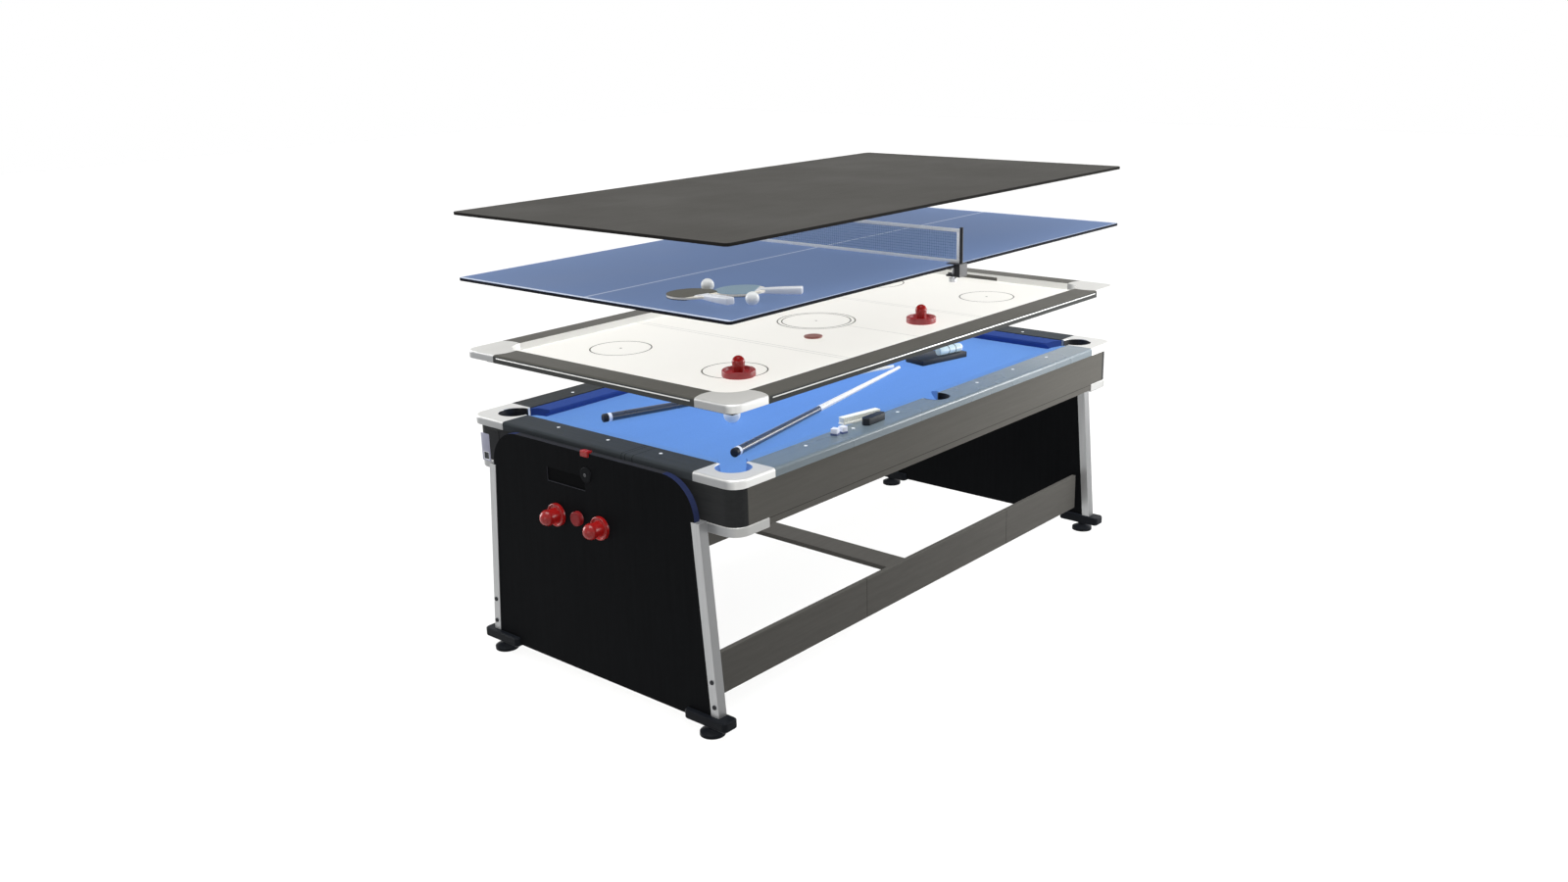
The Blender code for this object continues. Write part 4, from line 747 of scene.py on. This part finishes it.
def onSpot(x, y, z, turn=0.0, lean=None):
    # A place on a level, turned about the vertical; lean is (angle, axis)
    matrix = Matrix.Translation((x, y, z)) @ Matrix.Rotation(math.radians(turn), 4, "Z")
    if lean:
        matrix = matrix @ Matrix.Rotation(math.radians(lean[0]), 4, lean[1])
    return matrix


def onEnd(sign, face, across, height, gap=restGap):
    # Standing out from an upright face at the near end (-1) or the far one (1)
    outward = Matrix.Rotation(math.radians(90 * sign), 4, "Y")
    return Matrix.Translation((face + sign * gap, across, height)) @ outward


# Pushers and pucks of the hockey game: two pushers on the sheet, two slimmer ones on the pegs
pusher = {"base": 0.0525, "rim": 0.0215, "wall": 0.0080, "dish": 0.0090, "neck": 0.0195, "knob": 0.0205,
          "tall": 0.064, "edge": 0.004, "places": ((-0.757, -0.320), (0.190, -0.325))}
peggedPusher = {"base": 0.0380, "rim": 0.0140, "wall": 0.0060, "dish": 0.0075, "neck": 0.0240,
                "knob": 0.0265, "tall": 0.068, "edge": 0.003, "pegHole": 0.0150, "pegDepth": 0.021,
                "places": ((-0.054, 0.565), (0.150, 0.565))}
puck = {"radius": 0.0320, "thick": 0.0060, "edge": 0.0015, "place": (-0.215, -0.165)}
peggedPuck = {"radius": 0.0235, "thick": 0.0170, "edge": 0.0025, "place": (0.048, 0.575)}


def pusherPart(size, bands=()):
    edge, dome = size["edge"], size["knob"]
    inner = size["base"] - size["wall"]
    points = roundFoot(size["base"], edge / 2)
    if "pegHole" in size:
        hole, deep = size["pegHole"], size["pegDepth"]
        points = [(0, deep), (hole, deep), (hole, 0)] + points[1:]
    points += roundCorner(size["base"] - edge, size["rim"] - edge, edge, 0, 90)
    points += roundCorner(inner + edge / 2, size["rim"] - edge / 2, edge / 2, 90, 180, 3)
    points += roundCorner(inner - edge, size["dish"] + edge, edge, 0, -90, 4)
    points += roundCorner(size["neck"] + edge, size["dish"] + edge, edge, 270, 180, 4)
    points += [(size["neck"], size["tall"] * 0.5)]
    points += roundCorner(0, size["tall"] - dome, dome, 0, 90, 8)
    return turnedPart(points, 48, bands)


def puckPart(size):
    radius, thick, edge = size["radius"], size["thick"], size["edge"]
    hollow = thick - 0.0006
    points = roundFoot(radius, edge) + roundCorner(radius - edge, thick - edge, edge, 0, 90, 3)
    points += [(radius * 0.62, thick), (radius * 0.60, hollow), (0, hollow)]
    return turnedPart(points, 48)


def makePushers():
    bands = [(0, 1), (pusher["rim"] + 0.001, 0)]    # a duller red up to the rim
    for number, place in enumerate(pusher["places"], 1):
        placePiece("pusher_%d" % number, pusherPart(pusher, bands), onSpot(*place, fieldCorner.z + restGap),
                   ["redPlastic", "fieldRed"], "hockey_tray")
    for number, place in enumerate(peggedPusher["places"], 3):
        placePiece("pusher_%d" % number, pusherPart(peggedPusher), onEnd(-1, panelFace, *place),
                   ["redPlastic"], "stand")


def makePucks():
    placePiece("puck_1", puckPart(puck), onSpot(*puck["place"], fieldCorner.z + restGap), ["puckPlastic"],
               "hockey_tray")
    placePiece("puck_2", puckPart(peggedPuck), onEnd(-1, panelFace, *peggedPuck["place"]), ["puckRed"],
               "stand")


makePushers()
makePucks()
print("pushers and pucks made")


# Two cues on the cloth, each from its butt end to its tip, and the balls
cue = {"length": 1.219, "butt": 0.0145, "joint": 0.0108, "tip": 0.0062, "bumper": 0.018,
       "bumperEdge": 0.004, "ring": 0.012, "ringProud": 0.0004, "collar": 0.012, "slope": 0.0005,
       "buttShare": 0.46, "ferrule": 0.020, "leather": 0.006, "clear": 0.0006,
       "lying": (((-0.828, -0.354), (0.318, -0.112)), ((-0.805, 0.265), (0.246, -0.043)))}
ball = {"radius": 0.0286, "place": (-0.549, -0.088), "tennis": 0.020, "clear": 0.0003,
        "tennisPlaces": ((-0.809, -0.253), (-0.887, -0.505))}


def makeCues():
    size = cue
    length, butt, middle, tip = size["length"], size["butt"], size["joint"], size["tip"]
    joint = length * size["buttShare"]
    ferruleEnd = length - size["leather"]
    shaftEnd = ferruleEnd - size["ferrule"]
    ringEnd = size["bumper"] + size["ring"]
    collarEnd = joint + size["collar"] + size["slope"]
    points = roundFoot(butt, size["bumperEdge"], 4)
    points += raisedRing(butt, size["bumper"], ringEnd, size["ringProud"], size["slope"])
    points += [(butt + (middle - butt) * share, joint * share) for share in (0.25, 0.5, 0.75)]
    points += raisedRing(middle, joint, joint + size["collar"], size["slope"], size["slope"])
    points += [(middle + (tip - middle) * share, joint + (shaftEnd - joint) * share)
               for share in (0.33, 0.66)]
    points += [(tip, shaftEnd), (tip, ferruleEnd), (tip - 0.0003, ferruleEnd)]
    points += [(tip - 0.0008, length - 0.002), (tip * 0.5, length - 0.0004), (0, length)]
    bands = [(0.0, 0), (size["bumper"], 1), (ringEnd, 2), (joint, 1), (collarEnd, 3), (shaftEnd, 1),
             (ferruleEnd, 4)]
    lean = math.degrees(math.atan((butt - tip) / length))
    for number, (start, end) in enumerate(size["lying"], 1):
        heading = math.degrees(math.atan2(end[1] - start[1], end[0] - start[0]))
        place = onSpot(*start, clothTop + butt + size["clear"], heading, (90 + lean, "Y"))
        placePiece("cue_%d" % number, turnedPart(points, 32, bands), place,
                   ["blackMoulding", "whiteLacquer", "blackLacquer", "cueMaple", "leatherTip"], "cabinet")


def makeBalls():
    lying = [("cue_ball", ball["radius"], ball["place"], clothTop, "ivoryBall", "cabinet")]
    for number, spot in enumerate(ball["tennisPlaces"], 1):
        lying.append(("tennis_ball_%d" % number, ball["tennis"], spot, tennisCorner.z, "paleBall",
                      "tennis_table"))
    for name, radius, spot, level, finish, body in lying:
        part = bmesh.new()
        bmesh.ops.create_uvsphere(part, u_segments=48, v_segments=24, radius=radius)
        placePiece(name, part, onSpot(*spot, level + radius + ball["clear"]), [finish], body)


makeCues()
makeBalls()
print("cues and balls made")


# Two bats on the tennis top: blade centre, handle end and the colour of the upper rubber. The
# handle is cut across at shares of its length, each with its own width and depth.
bat = {"radius": 0.0745, "ply": 0.0062, "plyInset": 0.0008, "rubber": 0.0019, "shoulder": 0.048,
       "handleLength": 0.140, "handleWidth": 0.030, "handleDepth": 0.022, "handleEdge": 0.0045,
       "wingWidth": 0.062, "wingDepth": 0.55,
       "cuts": ((0.62, 1.0, 0.94), (0.30, 0.84, 0.86), (0.12, 1.05, 0.70)),
       "lying": (((-0.891, -0.266), (-0.925, -0.481), "darkRubber"),
                 ((-0.770, -0.352), (-0.675, -0.518), "blueRubber"))}


def bladePart(low, high, radius, cutAt=None):
    # A slightly long disc, cut straight at the shoulder that faces the handle
    edge = 0.0006
    profile = [(0, low), (radius - edge, low), (radius, low + edge), (radius, high - edge),
               (radius - edge, high), (0, high)]
    part = turnedPart(profile, 64)
    bmesh.ops.scale(part, vec=(1.05, 1.0, 1.0), verts=part.verts)
    if cutAt is not None:
        rim = [item for item in cutPart(part, -cutAt, -1, True) if isinstance(item, bmesh.types.BMEdge)]
        bmesh.ops.edgeloop_fill(part, edges=rim)
    return part


def handlePart(middle):
    # A flat bar drawn out to wings where it laps the blade, its cross edges rounded over
    size = bat
    length, half, depth = size["handleLength"], size["handleWidth"] / 2, size["handleDepth"] / 2
    start = -size["shoulder"]
    part = boxPart((start - length, -half, middle - depth), (start, half, middle + depth))

    def swell(verts, width, thick):
        for vert in verts:
            vert.co.y *= width
            vert.co.z = middle + (vert.co.z - middle) * thick

    for share, width, thick in size["cuts"]:
        made = cutPart(part, start - length * share, 1)
        swell({item for item in made if isinstance(item, bmesh.types.BMVert)}, width, thick)
    wings = [vert for vert in part.verts if vert.co.x > start - size["rubber"]]
    swell(wings, size["wingWidth"] / size["handleWidth"], size["wingDepth"])
    keen = [edge for edge in part.edges if edge.calc_face_angle(0) > math.radians(45)]
    roundEdges(part, keen, size["handleEdge"], 4)
    return part


def makeBats():
    size = bat
    radius, shoulder = size["radius"], size["shoulder"]
    low, high = size["rubber"], size["rubber"] + size["ply"]
    middle = (low + high) / 2
    # The thick handle lifts one end, the far edge of the blade stays down
    drop = size["handleDepth"] / 2 - middle
    reach = shoulder + size["handleLength"] + radius
    lean = math.degrees(math.atan2(drop, reach))
    for number, (blade, handleEnd, colour) in enumerate(size["lying"], 1):
        heading = math.degrees(math.atan2(blade[1] - handleEnd[1], blade[0] - handleEnd[0]))
        place = onSpot(*blade, tennisCorner.z + restGap + drop * radius / reach, heading, (lean, "Y"))
        whole = bmesh.new()
        addPart(whole, bladePart(low, high, radius - size["plyInset"]), 2)
        addPart(whole, bladePart(0, low, radius, shoulder), 1)
        addPart(whole, bladePart(high, high + size["rubber"], radius, shoulder), 0)
        addPart(whole, handlePart(middle), 3)
        placePiece("bat_%d" % number, whole, place, [colour, "blackMoulding", "cueMaple", "whiteLacquer"],
                   "tennis_table")


makeBats()
print("bats made")


# Net: knotted mesh in a white top band, a thin bottom band and side bands
net = {"pitch": 0.0090, "thread": 0.0014, "topBand": 0.0115, "bottomBand": 0.0110, "sideBand": 0.0115,
       "bandThick": 0.0016}


def makeNet():
    low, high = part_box("net")
    width, height = high.y - low.y, high.z - low.z
    innerLow, innerHigh = low.z + net["bottomBand"], high.z - net["topBand"]
    innerWidth = width - 2 * net["sideBand"]
    innerHeight = height - net["topBand"] - net["bottomBand"]
    columns, rows = round(innerWidth / net["pitch"]), round(innerHeight / net["pitch"])
    mesh = bmesh.new()
    bmesh.ops.create_grid(mesh, x_segments=columns, y_segments=rows, size=0.5)
    bmesh.ops.scale(mesh, vec=(innerWidth, innerHeight, 1), verts=mesh.verts)
    bmesh.ops.wireframe(mesh, faces=mesh.faces[:], thickness=net["thread"], use_boundary=True,
                        use_even_offset=True, use_replace=True)
    upright = Matrix.Rotation(math.radians(90), 4, "Z") @ Matrix.Rotation(math.radians(90), 4, "X")
    middle = Matrix.Translation((0, 0, innerLow + innerHeight / 2))
    bmesh.ops.transform(mesh, matrix=middle @ upright, verts=mesh.verts)
    for face in mesh.faces:
        face.material_index = 0
    half = net["bandThick"] / 2
    bands = [((-half, low.y, innerHigh), (half, high.y, high.z)),
             ((-half, low.y, low.z), (half, high.y, innerLow))]
    for side in (low.y, high.y - net["sideBand"]):
        bands.append(((-half, side, innerLow), (half, side + net["sideBand"], innerHigh)))
    for start, end in bands:
        addPart(mesh, boxPart(start, end, half / 2), 1)
    piece = newPiece("woven_net", mesh, ["netThread", "netBand"], "tennis_table", 60)
    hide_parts("net")


makeNet()
print("net made")


# White sights let into the rails
sight = {"radius": 0.0055, "fromEdge": 0.070, "along": (0.234, 0.468, 0.700), "across": 0.235}


def makeSights():
    radius, side, end = sight["radius"], railEdge - sight["fromEdge"], railEnd - sight["fromEdge"]
    profile = [(0, 0), (radius, 0), (radius, 0.0004), (radius * 0.7, 0.0006), (0, 0.0007)]
    spots = [(way * x, row * side) for x in sight["along"] for row in (-1, 1) for way in (1, -1)]
    spots += [(way * end, row * sight["across"]) for row in (-1, 0, 1) for way in (1, -1)]
    whole = bmesh.new()
    for x, y in spots:
        addPart(whole, turnedPart(profile, 20), 0, onSpot(x, y, railTop))
    newPiece("rail_sights", whole, ["whiteSight"], "cabinet")


# Aluminium line round the outside of the hockey tray
strip = {"height": 0.0036, "proud": 0.0012, "fromTop": 0.0100, "end": 0.1665, "radius": 0.0005}


def makeTrayStrips():
    whole = bmesh.new()
    low = trayCorner.z - strip["fromTop"] - strip["height"] / 2
    for sign in (-1, 1):
        for along, across in ((0, 1), (1, 0)):
            reach = trayCorner[along] - strip["end"]
            face = trayCorner[across] + restGap / 2
            start, end = [0, 0, low], [0, 0, low + strip["height"]]
            start[along], end[along] = -reach, reach
            start[across], end[across] = sorted((sign * face, sign * (face + strip["proud"])))
            addPart(whole, boxPart(start, end, strip["radius"]), 0)
    newPiece("hockey_strips", whole, ["brightStrip"], "hockey_tray")


# Bolts through the leg trims, which lean inwards as they go up
bolt = {"radius": 0.0075, "head": 0.0030, "edge": 0.0015, "heights": (0.100, 0.180), "fromEdge": 0.014,
        "trimWidth": 0.032}


def makeTrimBolts():
    radius, head, edge = bolt["radius"], bolt["head"], bolt["edge"]
    profile = [(0, 0), (radius, 0), (radius, head * 0.5)]
    profile += roundCorner(radius - edge, head - edge, edge, 0, 90, 3)
    profile += [(radius * 0.45, head), (radius * 0.40, head - edge), (0, head - edge)]
    for end, sign in (("near", -1), ("far", 1)):
        for side, away in (("front", -1), ("rear", 1)):
            low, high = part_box("leg_trim_%s_%s" % (end, side))
            top, foot = sorted((abs(low.y), abs(high.y)))
            face = low.x if sign < 0 else high.x
            whole = bmesh.new()
            for height in bolt["heights"]:
                share = (height - low.z) / (high.z - low.z)
                across = foot - bolt["fromEdge"] - (foot - top - bolt["trimWidth"]) * share
                place = onEnd(sign, face, away * across, height, restGap / 2)
                addPart(whole, turnedPart(profile, 24), 0, place)
            newPiece("trim_bolts_%s_%s" % (end, side), whole, ["blackMoulding"], "stand")


# A small screw in the middle of each bearing cap
pivotScrew = {"radius": 0.0060, "head": 0.0016, "socket": 0.0028, "height": 0.726}


def makePivotScrews():
    radius, head, socket = pivotScrew["radius"], pivotScrew["head"], pivotScrew["socket"]
    profile = [(0, 0), (radius, 0), (radius, head * 0.6), (radius * 0.85, head), (socket, head),
               (socket, head * 0.4), (0, head * 0.4)]
    for end, sign, side in (("near", -1, 0), ("far", 1, 1)):
        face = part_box("pivot_bearing_" + end)[side].x
        placePiece("pivot_screw_" + end, turnedPart(profile, 24), onEnd(sign, face, 0, pivotScrew["height"]),
                   ["greyScrew"], "stand")


# Socket plate of the blower's inlet on the near end apron
inlet = {"across": (0.474, 0.516), "height": (0.679, 0.773), "thick": 0.0016, "radius": 0.0007,
         "socketAcross": (0.482, 0.504), "socketHeight": (0.686, 0.708), "rim": 0.0022, "rimProud": 0.0010}


def makeInlet():
    size = inlet
    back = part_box("end_apron_near")[0].x - restGap
    front = back - size["thick"]
    whole = bmesh.new()
    (left, right), (low, high) = size["across"], size["height"]
    addPart(whole, boxPart((front, left, low), (back, right, high), size["radius"]), 0)
    (left, right), (low, high) = size["socketAcross"], size["socketHeight"]
    # A pale rim round the dark socket: a flat box whose front is set in
    rim = boxPart((front - size["rimProud"], left - size["rim"], low - size["rim"]),
                  (front - restGap / 4, right + size["rim"], high + size["rim"]))
    socket = min(rim.faces, key=lambda item: item.calc_center_median().x)
    bmesh.ops.inset_region(rim, faces=[socket], thickness=size["rim"], depth=-size["rimProud"] * 0.8)
    for item in rim.faces:
        item.material_index = 1
    socket.material_index = 2
    addPart(whole, rim)
    newPiece("inlet_plate", whole, ["inletPlate", "whiteLacquer", "caseBlack"], "cabinet")


makeSights()
makeTrayStrips()
makeTrimBolts()
makePivotScrews()
makeInlet()
print("trims, bolts and plates made")


# Table brush on the front rail: a block of bristles beside its slant-ended back
brush = {"back": (0.104, 0.030, 0.024), "slant": 0.0095, "edge": 0.0020, "backPlace": (-0.376, -0.545),
         "backTurn": 2.0, "tufts": (22, 4), "tuftRadius": 0.0043, "tuftTall": 0.020,
         "bristlePlace": (-0.386, -0.497), "bristleTurn": -10.0, "bristleSize": (0.160, 0.026)}


def makeBrush():
    size = brush
    whole = bmesh.new()
    back = blockPart(*size["back"])
    tall = size["back"][2]
    upright = [edge for edge in back.edges if abs(edge.verts[0].co.z - edge.verts[1].co.z) > tall / 2]
    roundEdges(back, upright, size["slant"], 1)
    roundEdges(back, back.edges[:], size["edge"], 3)
    addPart(whole, back, 0, onSpot(*size["backPlace"], railTop + restGap, size["backTurn"]))
    place = onSpot(*size["bristlePlace"], railTop + restGap, size["bristleTurn"])
    (long, wide), (columns, rows) = size["bristleSize"], size["tufts"]
    radius, tuftTall = size["tuftRadius"], size["tuftTall"]
    addPart(whole, blockPart(long, wide, tuftTall * 0.35, 0.0012), 1, place)
    for column in range(columns):
        for row in range(rows):
            tuft = bmesh.new()
            bmesh.ops.create_cone(tuft, cap_ends=True, segments=7, radius1=radius * 0.72, radius2=radius,
                                  depth=tuftTall)
            x = -long / 2 + radius + (long - 2 * radius) * column / (columns - 1)
            y = -wide / 2 + radius + (wide - 2 * radius) * row / (rows - 1)
            addPart(whole, tuft, 1, place @ Matrix.Translation((x, y, tuftTall * 0.72)))
    newPiece("table_brush", whole, ["caseBlack", "bristle"], "cabinet")


# Two chalk cubes, each with a dark blue band round its foot, a little apart on the front rail: place and
# turn
chalk = {"side": 0.022, "paper": 0.007, "footBandThick": 0.0003, "footBandEdge": 0.0004, "dish": 0.004,
         "deep": 0.0018, "edge": 0.0010, "places": ((-0.561, -0.537, 14), (-0.529, -0.5425, -9))}


def makeChalk():
    side = chalk["side"]
    half = side / 2 - chalk["footBandThick"]
    for number, (x, y, turn) in enumerate(chalk["places"], 1):
        whole = bmesh.new()
        place = onSpot(x, y, railTop + restGap, turn)
        cube = boxPart((-half, -half, 0.001), (half, half, side), chalk["edge"])
        top = max(cube.faces, key=lambda item: item.calc_center_median().z)
        bmesh.ops.inset_region(cube, faces=[top], thickness=chalk["dish"], depth=-chalk["deep"])
        addPart(whole, cube, 0, place)
        # A dark blue band round the foot of the cube, as high as chalk["paper"]
        addPart(whole, blockPart(side, side, chalk["paper"], chalk["footBandEdge"]), 1, place)
        newPiece("chalk_%d" % number, whole, ["chalkBlock", "chalkFootBand"], "cabinet")


# Flat black case on the cloth with a pale tube lying on it
gearCase = {"place": (0.568, -0.128), "turn": -12.0, "size": (0.230, 0.100, 0.022), "radius": 0.0025,
            "tube": 0.0165, "tubeFrom": -0.020, "tubeLength": 0.124, "ring": 0.003, "ringProud": 0.0005,
            "slope": 0.0004, "rings": (0.044, 0.078)}


def makeGearCase():
    size = gearCase
    wide, tall = size["size"][1:]
    radius, end, slope = size["tube"], size["tubeLength"], size["slope"]
    place = onSpot(*size["place"], clothTop + restGap, size["turn"])
    whole = bmesh.new()
    addPart(whole, blockPart(*size["size"], size["radius"]), 0, place)
    profile = roundFoot(radius, 0.002)
    bands = [(0.0, 1)]
    for ring in size["rings"]:
        profile += raisedRing(radius, ring, ring + size["ring"] - slope, size["ringProud"], slope)
        bands += [(ring, 0), (ring + size["ring"], 1)]
    profile += roundCorner(0, end - radius, radius, 0, 90, 8)
    bands.append((end - radius, 2))
    lying = Matrix.Translation((size["tubeFrom"], -wide / 2 + radius * 1.15, tall + radius + 2 * restGap))
    lying = lying @ Matrix.Rotation(math.radians(90), 4, "Y")
    addPart(whole, turnedPart(profile, 32, bands), None, place @ lying)
    newPiece("gear_case", whole, ["caseBlack", "tubePlastic", "whiteLacquer"], "cabinet")


makeBrush()
makeChalk()
makeGearCase()
print("brush, chalk and case made")


# Floor, light and camera
stageLook = {"floorSize": 40.0, "floorColour": (0.50, 0.50, 0.495), "floorGlow": 0.42,
             "worldColour": (1.0, 1.0, 1.0), "worldLight": 0.22}


def seenBy(tree, *rays):
    # 1 for rays that show the backdrop itself, 0 for those that only light the object
    path = tree.add("LightPath")
    seen = path[rays[0]]
    for ray in rays[1:]:
        seen = tree.calc("MAXIMUM", seen, path[ray])
    return seen


def makeFloor():
    floor = bmesh.new()
    bmesh.ops.create_grid(floor, x_segments=1, y_segments=1, size=stageLook["floorSize"] / 2)
    obj = newObject("floor", meshFrom(floor, "floor"))
    material = bpy.data.materials.new("floorPaper")
    material.use_nodes = True
    paperNodes = material.node_tree.nodes
    paperNodes.remove(paperNodes["Principled BSDF"])
    tree = Tree(material.node_tree)
    paper = tree.add("BsdfDiffuse", {"Color": (*stageLook["floorColour"], 1.0)})[0]
    strength = tree.times(seenBy(tree, "Is Camera Ray", "Is Glossy Ray"), stageLook["floorGlow"])
    glow = tree.add("Emission", {"Strength": strength})[0]
    tree.feed(paperNodes["Material Output"].inputs["Surface"], tree.add("AddShader", (paper, glow))[0])
    obj.data.materials.append(material)


def makeWorld():
    world = bpy.data.worlds.new("studio")
    bpy.context.scene.world = world
    world.use_nodes = True
    tree = Tree(world.node_tree)
    seen = seenBy(tree, "Is Camera Ray", "Is Transmission Ray", "Is Glossy Ray")
    background = world.node_tree.nodes["Background"].inputs
    tree.feed(background["Color"], (*stageLook["worldColour"], 1.0))
    tree.feed(background["Strength"], tree.remap(seen, 0.0, 1.0, stageLook["worldLight"], 1.0))


# Directions in which the light travels, its strength, its softness in degrees, and its shadow
suns = {
    "overheadFill": ((0.0, 0.0, -1.0), 2.65, 40, False),
    "softKey": ((-0.30, 0.50, -1.0), 0.35, 40, True),
    "frontFill": ((-0.20, 1.0, -0.10), 0.15, 30, False),
    "endFill": ((1.0, 0.20, -0.20), 0.40, 30, False),
    "rearFill": ((0.20, -1.0, -0.20), 1.60, 30, False),
    "farFill": ((-1.0, 0.10, -0.20), 1.40, 30, False),
}

# A soft lamp past the far front corner brightens the long side towards its far end
farLamp = {"place": (1.90, -2.00, 0.95), "target": (0.80, -0.60, 0.70), "size": 1.0, "power": 17.0,
           "spread": 110.0}


def addLamp(name, kind, towards, **settings):
    light = bpy.data.lights.new(name, kind)
    for key, value in settings.items():
        setattr(light, key, value)
    obj = newObject(name, light)
    obj.rotation_mode = "QUATERNION"
    obj.rotation_quaternion = Vector(towards).to_track_quat("-Z", "Y")
    return obj


def makeLamps():
    for name, (towards, strength, angle, casts) in suns.items():
        addLamp(name, "SUN", towards, energy=strength, angle=math.radians(angle), use_shadow=casts)
    towards = Vector(farLamp["target"]) - Vector(farLamp["place"])
    lamp = addLamp("farLamp", "AREA", towards, energy=farLamp["power"], size=farLamp["size"],
                   spread=math.radians(farLamp["spread"]), use_shadow=False)
    lamp.location = farLamp["place"]
    lamp.visible_camera = False


# The camera's place, its heading, downward tilt and roll in degrees, and its lens
view = {"place": (-3.805, -3.177, 2.07), "heading": -48.68, "down": 16.9, "roll": -1.43, "lens": 32.29}


def makeCamera():
    heading, down, roll = (math.radians(view[key]) for key in ("heading", "down", "roll"))
    level = Vector((math.cos(heading), math.sin(heading), 0))
    onward = Vector((-math.sin(heading), math.cos(heading), 0))
    forward = onward * math.cos(down) - Vector((0, 0, math.sin(down)))
    right = level * math.cos(roll) + level.cross(forward) * math.sin(roll)
    above = right.cross(forward)
    camera = bpy.data.cameras.new("camera")
    camera.lens = view["lens"]
    camera.sensor_width = 36.0
    obj = newObject("camera", camera)
    axes = Matrix((right, above, -forward)).transposed().to_4x4()
    obj.matrix_world = Matrix.Translation(view["place"]) @ axes
    bpy.context.scene.camera = obj


makeFloor()
makeWorld()
makeLamps()
makeCamera()
bpy.context.scene.view_settings.view_transform = "Standard"
print("stage, light and camera set")
